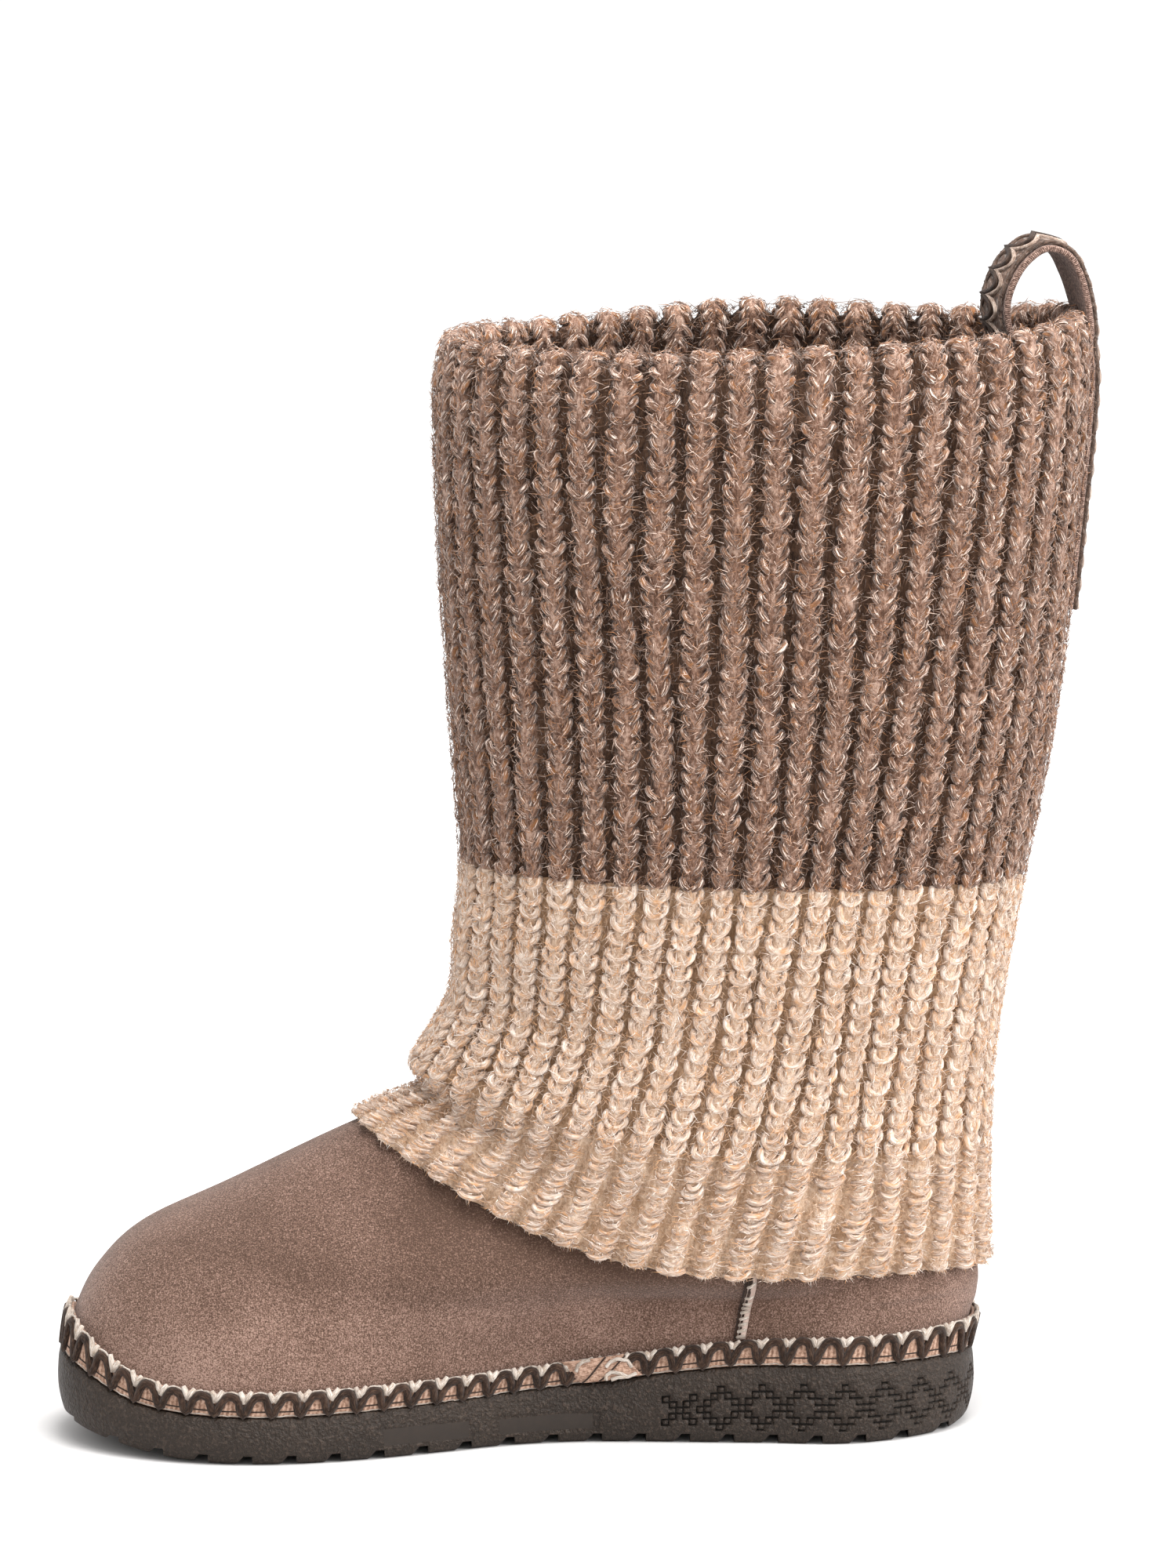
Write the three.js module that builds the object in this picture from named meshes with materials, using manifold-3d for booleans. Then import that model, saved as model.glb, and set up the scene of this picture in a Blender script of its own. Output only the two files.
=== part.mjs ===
// A pull-on winter boot for the right foot: suede-cloth foot, ribbed knit shaft, wedge sole with lugs.
// Millimetres. +Z is up, the toe points along -X, and -Y is the inner (medial) side.
// The origin is on the floor, under the middle of the heel's tread.
import * as THREE from "three";
import { mergeVertices } from "three/addons/utils/BufferGeometryUtils.js";
import Module from "manifold-3d";

// Driving sizes
const soleLength = 280; // heel to toe, over the sole's side wall
const ballWidth = 103; // sole, across the ball of the foot
const heelSetback = 47; // from the back of the sole to the middle of the heel's tread
const heelLift = 24.4; // sole's height at the heel
const toeSpring = 6.5; // how far the tip of the tread stands off the floor
const soleUndercut = 3.2; // how far the tread's edge lies inside the side wall
const deckMargin = 1; // from the upper's inner face to the step down to the sole's deck
const grooveDepth = 2.3; // cross grooves between the lugs
const grooveMouth = 5; // groove's width at the floor: it flares towards the toe
const grooveRoof = 2.6; // groove's width at its top
const groovePitch = 13.3;
const firstGroove = 10.7; // from the back of the sole
const upperWall = 3; // suede cloth with its fleece backing
const instepHeight = 90.5; // floor to the top of the foot at the knit hem
const seatHeight = 46; // floor to the hem at the back of the heel
const insoleThickness = 4.5;
const insoleMargin = 4; // from the base of the upper's inner face to the insole's edge
const collarHeight = 331; // floor to the shoulder of the rolled collar
const shaftLength = 195; // collar, front to back
const shaftWidth = 122; // collar, side to side
const knitWall = 6; // ribbed knit, over the ribs
const hemWall = 4.3; // knit at its thinner bottom hem
const turnIn = 52; // depth of the knit that is folded inside the collar
const turnInWall = 8.5; // knit where it is doubled
const rimRound = 4.2; // rolled edge above the collar's shoulder
const ribCount = 44;
const ribDepth = 2.4;
const braidHeight = 8.8; // woven braid round the foot
const braidThickness = 2.3;
const braidLedge = 0.6; // sole's edge that shows below the braid
const lapLength = 19; // where the braid's end lies over its start
const lapSlant = 6; // how far the lap's lower edge runs back
const lapThickness = 1;
const lapPlace = 128; // from the back of the sole to the lap's toe end
const pipingWidth = 3.4;
const pipingHeight = 1.6;
const pipingPlace = 74; // from the back of the sole to the foot of the side seam
const pipingLean = 3; // how far the seam's head lies behind its foot
const loopWidth = 20;
const tapeThickness = 2;
const loopBraidThickness = 2.2;
const loopBraidWidth = 17.5;
const loopPress = 5; // ribs pressed flat beside the loop
const loopStand = 29.3; // loop's height above the collar's shoulder
const loopReach = 27.2; // how far the loop leans into the collar
const loopTurn = 12; // degrees that the free loop is turned about the vertical
const loopInside = 44; // loop's sewn end inside the collar, below its top
const loopOutside = 80; // loop's sewn end down the back, below the collar's top
const loopSeam = 8; // length of the loop that is sewn down inside the collar
const collarHollow = 2.2; // the flat loop bridges the round of the wall
const seamGap = 0.3; // between pieces that touch
const trimGap = 0.5; // under braid, seams and loop, whose flats stray a little from the curve below them
const lapGap = 0.9; // between the braid and its end

// Finishes
const suede = { color: 0x8a7468, roughness: 0.95 };
const solePlastic = { color: 0x4b4540, roughness: 0.75 };
const brownKnit = { color: 0x8b7260, roughness: 1 };
const wovenBraid = { color: 0x5a4438, roughness: 0.9 };
const fleece = { color: 0xb9a897, roughness: 1 };
const creamStitch = { color: 0xd9cdbb, roughness: 0.9 };
const backingTape = { color: 0x7a665b, roughness: 0.9 };

// Sole outline. share runs from heel to toe, centre is towards the outer side, and fullness is the half
// width; both are shares of ballWidth.
const outlineRows = [
  { share: 0, centre: 0, fullness: 0.47 },
  { share: 0.13, centre: 0, fullness: 0.47 },
  { share: 0.24, centre: 0.015, fullness: 0.393 },
  { share: 0.42, centre: 0.048, fullness: 0.351 },
  { share: 0.51, centre: 0.053, fullness: 0.379 },
  { share: 0.59, centre: 0.034, fullness: 0.434 },
  { share: 0.67, centre: 0.017, fullness: 0.495 },
  { share: 0.77, centre: -0.012, fullness: 0.544 },
  { share: 0.86, centre: -0.038, fullness: 0.547 },
  { share: 1, centre: -0.058, fullness: 0.505 },
];

// Sole's side view: heights as shares of heelLift, the tread's rise as a share of toeSpring, and the height
// of the braid above the sole as a share of braidHeight.
const sideRows = [
  { share: 0, top: 0.955, deck: 0.94, rise: 0.2, braid: 1.42 },
  { share: 0.03, top: 0.98, deck: 0.95, rise: 0, braid: 1.34 },
  { share: 0.1, top: 1, deck: 0.96, rise: 0, braid: 1.14 },
  { share: 0.25, top: 0.985, deck: 0.94, rise: 0, braid: 1 },
  { share: 0.33, top: 0.9, deck: 0.86, rise: 0, braid: 1 },
  { share: 0.42, top: 0.77, deck: 0.74, rise: 0, braid: 1 },
  { share: 0.52, top: 0.68, deck: 0.65, rise: 0, braid: 1 },
  { share: 0.66, top: 0.623, deck: 0.595, rise: 0, braid: 1 },
  { share: 0.8, top: 0.594, deck: 0.565, rise: 0, braid: 1 },
  { share: 0.88, top: 0.625, deck: 0.58, rise: 0.12, braid: 1 },
  { share: 0.93, top: 0.72, deck: 0.63, rise: 0.4, braid: 1.08 },
  { share: 1, top: 1.1, deck: 0.75, rise: 1, braid: 1.22 },
];

// Sole's side wall, from tread to rim: rise is a share of the wall's height, inset a share of soleUndercut.
const wallRows = [
  { rise: 0, inset: 1 },
  { rise: 0.1, inset: 0.5 },
  { rise: 0.45, inset: 0 },
  { rise: 0.85, inset: 0.06 },
  { rise: 1, inset: 0.28 },
];

// Foot rings that show below the knit, up from the braid: toe and heel are shares of soleLength from the
// heel, their heights shares of instepHeight and seatHeight, dip a share of instepHeight, fore and aft
// widths shares of the sole's own.
const footRows = [
  { toe: 0.98, toeHeight: 0.42, heel: 0.003, heelHeight: 0.75, dip: 0.106, fore: 0.955, aft: 0.96 },
  { toe: 0.956, toeHeight: 0.54, heel: -0.002, heelHeight: 0.83, dip: 0.128, fore: 0.915, aft: 0.955 },
  { toe: 0.908, toeHeight: 0.67, heel: -0.004, heelHeight: 0.9, dip: 0.148, fore: 0.87, aft: 0.955 },
  { toe: 0.815, toeHeight: 0.8, heel: -0.005, heelHeight: 0.96, dip: 0.17, fore: 0.85, aft: 0.965 },
];

// Knit shaft over its ribs, from hem to collar: row 0 is the hem, 1 the crease, 2 the roll above it, 4 the
// ankle, 6 the change of colour and 10 the collar's shoulder. Each row's sizes are shares of lengths that
// pass from the foot's at the hem to the collar's at the top: front and back, from the back of the heel, of
// soleLength to shaftLength; frontHeight of instepHeight to collarHeight; backHeight of seatHeight to
// collarHeight; the half widths fore and aft of ballWidth to shaftWidth. dip is a share of instepHeight.
const shaftRows = [
  { front: 0.665, frontHeight: 1.046, back: -0.02, backHeight: 1.065, dip: 0.205, fore: 0.417, aft: 0.409 },
  { front: 0.619, frontHeight: 0.901, back: -0.018, backHeight: 0.889, dip: 0.139, fore: 0.409, aft: 0.405 },
  { front: 0.656, frontHeight: 0.814, back: -0.018, backHeight: 0.797, dip: 0.095, fore: 0.402, aft: 0.395 },
  { front: 0.651, frontHeight: 0.765, back: -0.02, backHeight: 0.76, dip: 0.051, fore: 0.393, aft: 0.386 },
  { front: 0.651, frontHeight: 0.727, back: -0.025, backHeight: 0.732, dip: 0.029, fore: 0.386, aft: 0.382 },
  { front: 0.669, frontHeight: 0.73, back: -0.042, backHeight: 0.759, dip: 0.015, fore: 0.395, aft: 0.393 },
  { front: 0.686, frontHeight: 0.747, back: -0.064, backHeight: 0.784, dip: 0, fore: 0.412, aft: 0.412 },
  { front: 0.726, frontHeight: 0.852, back: -0.107, backHeight: 0.893, dip: 0, fore: 0.449, aft: 0.449 },
  { front: 0.77, frontHeight: 0.959, back: -0.139, backHeight: 0.991, dip: 0, fore: 0.485, aft: 0.485 },
  { front: 0.808, frontHeight: 1.03, back: -0.164, backHeight: 1.05, dip: 0, fore: 0.508, aft: 0.508 },
  { front: 0.833, frontHeight: 1, back: -0.165, backHeight: 1.01, dip: 0.007, fore: 0.492, aft: 0.492 },
];

// Pull loop where it stands free, from inside the collar over to the back: run towards the heel, a share of
// loopReach, and climb, a share of loopStand, both from the collar's shoulder at the back. turn is a share
// of loopTurn.
const loopRows = [
  { run: -0.515, climb: -0.82, turn: 0.3 },
  { run: -0.66, climb: -0.44, turn: 0.6 },
  { run: -0.845, climb: -0.1, turn: 0.9 },
  { run: -0.98, climb: 0.19, turn: 1 },
  { run: -1, climb: 0.43, turn: 1 },
  { run: -0.925, climb: 0.665, turn: 1 },
  { run: -0.78, climb: 0.87, turn: 1 },
  { run: -0.56, climb: 1, turn: 1 },
  { run: -0.33, climb: 0.93, turn: 1 },
  { run: -0.185, climb: 0.7, turn: 1 },
  { run: -0.09, climb: 0.41, turn: 0.8 },
  { run: -0.03, climb: 0.137, turn: 0.4 },
];

const footSteps = 60; // sides of a ring round the foot
const footBluntness = 2.5;
const shaftBluntness = 2.15;
const dipSkew = 1.3; // carries the deepest dip towards the toe
const tau = 2 * Math.PI;

const wasm = await Module();
wasm.setup();

const mix = (a, b, share) => a + (b - a) * share;

// A table's column as a smooth curve, read at any place between its first and last row.
function read(rows, column, at, key = "share") {
  const last = rows.length - 1;
  let i = 0;
  while (i < last - 1 && at > rows[i + 1][key]) i += 1;
  const slope = (j) => {
    const before = rows[Math.max(0, j - 1)];
    const after = rows[Math.min(last, j + 1)];
    return (after[column] - before[column]) / (after[key] - before[key]);
  };
  const step = rows[i + 1][key] - rows[i][key];
  const t = Math.min(1, Math.max(0, (at - rows[i][key]) / step));
  const t2 = t * t;
  const t3 = t2 * t;
  return (
    (2 * t3 - 3 * t2 + 1) * rows[i][column] +
    (t3 - 2 * t2 + t) * step * slope(i) +
    (3 * t2 - 2 * t3) * rows[i + 1][column] +
    (t3 - t2) * step * slope(i + 1)
  );
}

// A point round a blunt oval, from its heel: along runs 0 to 1 from heel to toe, across from -1 to 1.
function oval(angle, bluntness) {
  const power = 2 / bluntness;
  const c = Math.cos(angle);
  const s = Math.sin(angle);
  return {
    along: (1 - Math.sign(c) * Math.abs(c) ** power) / 2,
    across: Math.sign(s) * Math.abs(s) ** power,
  };
}

const dipShape = (along) => Math.sin(Math.PI * along ** dipSkew);
const soleTop = (share) => heelLift * read(sideRows, "top", share);
const soleDeck = (share) => heelLift * read(sideRows, "deck", share);
const soleBottom = (share) => toeSpring * Math.max(0, read(sideRows, "rise", share));

// A point of the sole's outline, moved in from its edge, at the height that heightAt gives.
function outlinePoint(angle, inset, heightAt) {
  const { along, across } = oval(angle, footBluntness);
  const centre = ballWidth * read(outlineRows, "centre", along);
  const half = ballWidth * read(outlineRows, "fullness", along) - inset;
  return new THREE.Vector3(
    heelSetback - inset - (soleLength - 2 * inset) * along,
    centre + half * across,
    heightAt(along),
  );
}

function shell(rings, faces) {
  const geometry = new THREE.BufferGeometry().setFromPoints(rings.flat());
  geometry.setIndex(faces);
  return geometry;
}

// A closed body from rings of points, each ring listed anticlockwise seen from above and the rings listed
// round the body's own section: joined side by side, and last to first.
function ringBody(rings) {
  const steps = rings[0].length;
  const faces = [];
  rings.forEach((ring, r) => {
    const next = (r + 1) % rings.length;
    for (let i = 0; i < steps; i += 1) {
      const j = (i + 1) % steps;
      const [a, b] = [r * steps + i, r * steps + j];
      const [c, d] = [next * steps + j, next * steps + i];
      faces.push(a, b, c, a, c, d);
    }
  });
  return shell(rings, faces);
}

// A closed body from rings stacked bottom to top, each end closed by strips that run straight across it.
function stackedBody(rings) {
  const steps = rings[0].length;
  const faces = [];
  for (let r = 0; r < rings.length - 1; r += 1) {
    for (let i = 0; i < steps; i += 1) {
      const j = (i + 1) % steps;
      const [a, b] = [r * steps + i, r * steps + j];
      faces.push(a, b, b + steps, a, b + steps, a + steps);
    }
  }
  const top = (rings.length - 1) * steps;
  for (let i = 0; i < steps / 2; i += 1) {
    const [a, b] = [i, i + 1];
    const [c, d] = [(steps - i - 1) % steps, (steps - i) % steps];
    const quad = i === 0 ? [[a, b, c]] : i === steps / 2 - 1 ? [[a, b, d]] : [[a, b, c], [a, c, d]];
    quad.forEach(([p, q, s]) => faces.push(top + p, top + q, top + s, p, s, q));
  }
  return shell(rings, faces);
}

function solidOf(geometry) {
  geometry.deleteAttribute("normal");
  geometry.deleteAttribute("uv");
  const merged = mergeVertices(geometry, 1e-4);
  return new wasm.Manifold(
    new wasm.Mesh({
      numProp: 3,
      vertProperties: merged.attributes.position.array,
      triVerts: new Uint32Array(merged.index.array),
    }),
  );
}

function geometryOf(body) {
  const made = body.getMesh();
  const geometry = new THREE.BufferGeometry();
  geometry.setAttribute("position", new THREE.BufferAttribute(made.vertProperties, 3));
  geometry.setIndex(new THREE.BufferAttribute(made.triVerts, 1));
  return geometry;
}

const cutAway = (geometry, cutters) =>
  geometryOf(cutters.reduce((left, cutter) => left.subtract(solidOf(cutter)), solidOf(geometry)));

function namedMesh(name, geometry, finish) {
  geometry.computeVertexNormals();
  const mesh = new THREE.Mesh(geometry, new THREE.MeshStandardMaterial({ metalness: 0, ...finish }));
  mesh.name = name;
  return mesh;
}

const ringOf = (steps, pointAt) => Array.from({ length: steps }, (_, i) => pointAt((i * tau) / steps));

// The outward normal of a surface given by pointAt(angle, level).
function normalAt(pointAt, angle, level) {
  const turn = 0.01;
  const climb = 0.02;
  const round = pointAt(angle + turn, level).sub(pointAt(angle - turn, level));
  const up = pointAt(angle, level + climb).sub(pointAt(angle, level - climb));
  return round.cross(up).normalize();
}

const offsetPoint = (pointAt, angle, level, distance) =>
  pointAt(angle, level).addScaledVector(normalAt(pointAt, angle, level), distance);

// Knit shaft: a level of 0 is the hem, and each whole number is one row of shaftRows.
const shaftLevels = shaftRows.map((row, level) => ({ ...row, level }));
const topLevel = shaftRows.length - 1;

function shaftPoint(angle, level) {
  const { along, across } = oval(angle, shaftBluntness);
  const scaled = (column, low, high) =>
    read(shaftLevels, column, level, "level") * mix(low, high, Math.min(1, level / topLevel));
  const back = scaled("back", soleLength, shaftLength);
  const front = scaled("front", soleLength, shaftLength);
  const backHeight = scaled("backHeight", seatHeight, collarHeight);
  const frontHeight = scaled("frontHeight", instepHeight, collarHeight);
  const half = mix(scaled("aft", ballWidth, shaftWidth), scaled("fore", ballWidth, shaftWidth), along);
  const dip = instepHeight * read(shaftLevels, "dip", level, "level") * dipShape(along);
  return new THREE.Vector3(
    heelSetback - mix(back, front, along),
    half * across,
    mix(backHeight, frontHeight, along) - dip,
  );
}

// Thickness of the knit at a level: thin at the hem, doubled where it is turned in at the collar.
function knitThickness(level) {
  const hemShare = Math.min(1, level / 2);
  return mix(hemWall, knitWall, hemShare);
}

// The level at which the shaft's back stands at a height.
function shaftLevelAt(height) {
  let [low, high] = [0, topLevel];
  for (let i = 0; i < 40; i += 1) {
    const middle = (low + high) / 2;
    if (shaftPoint(0, middle).z < height) low = middle;
    else high = middle;
  }
  return low;
}

const loopFootLevel = shaftLevelAt(collarHeight - loopOutside);
const flatLevel = loopFootLevel - 0.02; // from here up, the ribs under the loop are pressed flat

// Angles that divide a level of the shaft into equal lengths, so that every rib is as wide as the next.
function evenAngles(level, count) {
  const fine = 720;
  const lengths = [0];
  for (let i = 1; i <= fine; i += 1) {
    const step = shaftPoint((i * tau) / fine, level).distanceTo(shaftPoint(((i - 1) * tau) / fine, level));
    lengths.push(lengths[i - 1] + step);
  }
  let i = 0;
  return Array.from({ length: count }, (_, k) => {
    const wanted = (lengths[fine] * k) / count;
    while (lengths[i + 1] < wanted) i += 1;
    return ((i + (wanted - lengths[i]) / (lengths[i + 1] - lengths[i])) * tau) / fine;
  });
}

// Foot: level 0 is its base on the sole, 1 to 4 are footRows, and above them it lies inside the knit.
const baseInset = braidLedge + braidThickness + trimGap;
// Inside the knit the foot takes these levels of the shaft; slack lets it pass under the instep's fold.
const hiddenRows = [
  { level: 0, slack: 0 },
  { level: 1, slack: 1.4 },
  { level: 3, slack: 0.8 },
  { level: 4, slack: 0.2 },
  { level: 5, slack: 0 },
];
const hemLevel = footRows.length + 1;

const baseHeight = (share) => soleTop(share) + seamGap;

function footRing(angle, index) {
  if (index <= 0) return outlinePoint(angle, baseInset, baseHeight);
  if (index >= hemLevel) {
    const { level, slack } = hiddenRows[Math.min(index - hemLevel, hiddenRows.length - 1)];
    return offsetPoint(shaftPoint, angle, level, -(knitThickness(level) + seamGap + slack));
  }
  const row = footRows[index - 1];
  const { along, across } = oval(angle, mix(footBluntness, shaftBluntness, index / hemLevel));
  const centre = ballWidth * read(outlineRows, "centre", along) * (1 - index / hemLevel);
  const half = (ballWidth * read(outlineRows, "fullness", along) - baseInset) * mix(row.aft, row.fore, along);
  const height = mix(seatHeight * row.heelHeight, instepHeight * row.toeHeight, along);
  return new THREE.Vector3(
    heelSetback - soleLength * mix(row.heel, row.toe, along),
    centre + half * across,
    height - instepHeight * row.dip * dipShape(along),
  );
}

// The foot between its rings is a smooth curve through the four nearest.
function footPoint(angle, level) {
  const i = Math.max(0, Math.floor(level));
  const t = level - i;
  const weights = [
    (-t + 2 * t * t - t ** 3) / 2,
    (2 - 5 * t * t + 3 * t ** 3) / 2,
    (t + 4 * t * t - 3 * t ** 3) / 2,
    (t ** 3 - t * t) / 2,
  ];
  const sum = new THREE.Vector3();
  weights.forEach((weight, k) => sum.addScaledVector(footRing(angle, i - 1 + k), weight));
  return sum;
}

function makeOutsole() {
  const rings = wallRows.map(({ rise, inset }) =>
    ringOf(footSteps, (angle) =>
      outlinePoint(angle, soleUndercut * inset, (share) => mix(soleBottom(share), soleTop(share), rise)),
    ),
  );
  const rimWidth = baseInset + upperWall + deckMargin;
  rings.push(ringOf(footSteps, (angle) => outlinePoint(angle, rimWidth, soleTop)));
  rings.push(ringOf(footSteps, (angle) => outlinePoint(angle, rimWidth + deckMargin, soleDeck)));
  return cutAway(stackedBody(rings), grooveBars());
}

// Bars across the whole sole, one for each groove, that rise with the toe.
function grooveBars() {
  const bars = [];
  const below = 2;
  for (let place = firstGroove; place < soleLength; place += groovePitch) {
    const tread = soleBottom(place / soleLength);
    const flare = (grooveMouth - grooveRoof) * (1 + below / grooveDepth);
    const section = new THREE.Shape([
      new THREE.Vector2(-grooveRoof / 2 - flare, -below),
      new THREE.Vector2(grooveRoof / 2, -below),
      new THREE.Vector2(grooveRoof / 2, grooveDepth),
      new THREE.Vector2(-grooveRoof / 2, grooveDepth),
    ]);
    const bar = new THREE.ExtrudeGeometry(section, { depth: 2 * ballWidth, bevelEnabled: false });
    bar.rotateX(Math.PI / 2);
    bar.translate(heelSetback - place, ballWidth, tread);
    bars.push(bar);
  }
  return bars;
}

function makeInsole() {
  const inset = baseInset + upperWall + insoleMargin;
  const bottom = (share) => soleDeck(share) + seamGap;
  const top = (share) => bottom(share) + insoleThickness;
  return stackedBody([
    ringOf(footSteps, (angle) => outlinePoint(angle, inset, bottom)),
    ringOf(footSteps, (angle) => outlinePoint(angle, inset, top)),
  ]);
}

function makeUpper() {
  const outerLevels = [0, 0.5, 1, 1.5, 2, 2.5, 3, 3.5, 4, 5, 5.5, 6, 7, 7.5, 8, 8.6];
  const innerLevels = [0, 0.5, 1, 2, 3, 4, 5, 6, 7, 8, 8.6];
  const outside = outerLevels.map((level) => ringOf(footSteps, (angle) => footPoint(angle, level)));
  const inside = innerLevels.map((level) =>
    ringOf(footSteps, (angle) => {
      if (level === 0) return outlinePoint(angle, baseInset + upperWall, baseHeight);
      return offsetPoint(footPoint, angle, level, -upperWall);
    }),
  );
  return ringBody([...outside, ...inside.reverse()]);
}

function makeKnitShaft() {
  const levels = [0, 0.4, 0.8, 1.1, 1.5, 2, 2.5, 3, 4, 5, 6, 7, flatLevel, 8.5, 9.3, 10];
  const samples = 2 * ribCount;
  const ribbed = (level, angles, index) => {
    const angle = angles[index];
    const besideLoop = Math.abs(shaftPoint(angle, level).y) < loopWidth / 2 + loopPress;
    const underLoop = besideLoop && Math.cos(angle) > 0 && level >= flatLevel;
    const valley = index % 2 || underLoop ? ribDepth : 0;
    return offsetPoint(shaftPoint, angle, level, -valley);
  };
  const outside = levels.map((level) => {
    const angles = evenAngles(level, samples);
    return angles.map((_, i) => ribbed(level, angles, i));
  });
  const evenRing = (level, depth, lift = 0) =>
    evenAngles(level, samples).map((angle) => {
      const point = offsetPoint(shaftPoint, angle, level, -depth);
      point.z += lift;
      return point;
    });
  // the rolled collar, then the doubled knit inside it, then the single wall down to the hem
  const crest = [
    evenRing(topLevel, turnInWall * 0.35, rimRound),
    evenRing(topLevel, turnInWall * 0.75, rimRound * 0.85),
  ];
  const turnInLevel = shaftLevelAt(collarHeight - turnIn);
  const folded = [evenRing(9.8, turnInWall), evenRing(turnInLevel, turnInWall)];
  const innerLevels = [turnInLevel - 0.06, 7, 6, 5, 4, 3, 2, 1, 0];
  const inside = innerLevels.map((level) => evenRing(level, knitThickness(level)));
  return ringBody([...outside, ...crest, ...folded, ...inside]);
}

// The foot's level at the braid's upper edge.
function braidTop(angle) {
  const top = footPoint(angle, 0).z + braidHeight * read(sideRows, "braid", oval(angle, footBluntness).along);
  let level = 0;
  while (footPoint(angle, level).z < top && level < 3) level += 0.02;
  return level;
}

function makeBraidBand() {
  const steps = [0, 0.33, 0.67, 1];
  const sections = ringOf(footSteps, (angle) => {
    const top = braidTop(angle);
    const at = (share, depth) => {
      if (share === 0) return outlinePoint(angle, baseInset - trimGap - depth, baseHeight);
      return offsetPoint(footPoint, angle, top * share, trimGap + depth);
    };
    const outer = steps.map((share) => at(share, braidThickness * (share === 1 ? 0.8 : 1)));
    const inner = steps.map((share) => at(share, 0));
    return [...outer, ...inner.reverse()];
  });
  return ringBody(sections[0].map((_, k) => sections.map((section) => section[k])));
}

// The angle at which a level of the foot lies so far from the back of the sole; side is 1 on the outer side
// and -1 on the inner.
function footAngle(level, place, side) {
  let [low, high] = [0, Math.PI];
  for (let i = 0; i < 40; i += 1) {
    const middle = (low + high) / 2;
    if (heelSetback - footPoint(side * middle, level).x < place) low = middle;
    else high = middle;
  }
  return side * low;
}

// The braid's end, lying over the band on the inner side.
function makeBraidLap() {
  const steps = 6;
  const heights = [0.05, 0.5, 0.97];
  const sections = Array.from({ length: steps + 1 }, (_, k) => {
    const at = (share, depth) => {
      const place = lapPlace - (lapLength * k) / steps - lapSlant * (1 - share);
      const angle = footAngle(share, place, -1);
      const level = braidTop(angle) * share;
      return offsetPoint(footPoint, angle, level, trimGap + braidThickness + lapGap + depth);
    };
    return [
      ...heights.map((share) => at(share, 0)),
      ...heights.map((share) => at(share, lapThickness)).reverse(),
    ];
  });
  return stackedBody(sections);
}

// A raised seam up one side, from the braid to the hem.
function makeSidePiping(side) {
  const steps = 5;
  const sections = Array.from({ length: steps + 1 }, (_, k) => {
    const foot = braidTop(footAngle(1, pipingPlace, side)) + 0.06;
    const level = mix(foot, hemLevel - 0.08, k / steps);
    const place = pipingPlace - (pipingLean * k) / steps;
    const at = (across, depth) =>
      offsetPoint(footPoint, footAngle(level, place + across, side), level, trimGap + depth);
    const half = pipingWidth / 2;
    const section = [
      at(half, 0),
      at(half, pipingHeight * 0.6),
      at(half * 0.4, pipingHeight),
      at(-half * 0.4, pipingHeight),
      at(-half, pipingHeight * 0.6),
      at(-half, 0),
    ];
    return side > 0 ? section.reverse() : section;
  });
  return stackedBody(sections);
}

// The loop's middle line, with its turn: sewn inside the collar, free over the top, sewn down the back.
function loopPath() {
  const seat = trimGap + tapeThickness / 2;
  const shoulder = shaftPoint(0, topLevel);
  const sewn = (levels, distance) =>
    levels.map((level) => ({ point: offsetPoint(shaftPoint, 0, level, distance), turn: 0 }));
  const insideLevels = [loopInside, loopInside - loopSeam].map((depth) => shaftLevelAt(collarHeight - depth));
  const outsideLevels = [0, 0.25, 0.5, 0.75, 1].map((share) => mix(topLevel - 0.25, loopFootLevel, share));
  const free = loopRows.map(({ run, climb, turn }) => ({
    point: new THREE.Vector3(shoulder.x + loopReach * run, 0, collarHeight + loopStand * climb),
    turn,
  }));
  return [
    ...sewn(insideLevels, -turnInWall - seat - collarHollow),
    ...free,
    ...sewn(outsideLevels, seat - ribDepth),
  ];
}

// A strip of the loop: its sections stand square to the middle line, rise outwards from it by lift, and are
// sheared by the turn.
function loopStrip(width, thickness, lift) {
  const path = loopPath();
  const line = new THREE.CatmullRomCurve3(path.map(({ point }) => point));
  const steps = 2 * (path.length - 1);
  const sections = Array.from({ length: steps + 1 }, (_, k) => {
    const share = k / steps;
    const point = line.getPoint(share);
    const tangent = line.getTangent(share);
    const outward = new THREE.Vector3(-tangent.z, 0, tangent.x);
    const row = Math.min(path.length - 2, Math.floor(share * (path.length - 1)));
    const turn = mix(path[row].turn, path[row + 1].turn, share * (path.length - 1) - row);
    const shear = Math.tan(THREE.MathUtils.degToRad(loopTurn * turn));
    const corner = (across, out) => {
      const y = (across * width) / 2;
      return point
        .clone()
        .addScaledVector(outward, lift + (out * thickness) / 2)
        .add(new THREE.Vector3(-y * shear, y, 0));
    };
    return [corner(1, 1), corner(-1, 1), corner(-1, -1), corner(1, -1)];
  });
  return stackedBody(sections);
}

const makePullLoop = () => loopStrip(loopWidth, tapeThickness, 0);
const makeLoopBraid = () =>
  loopStrip(loopBraidWidth, loopBraidThickness, tapeThickness / 2 + seamGap + loopBraidThickness / 2);

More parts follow.
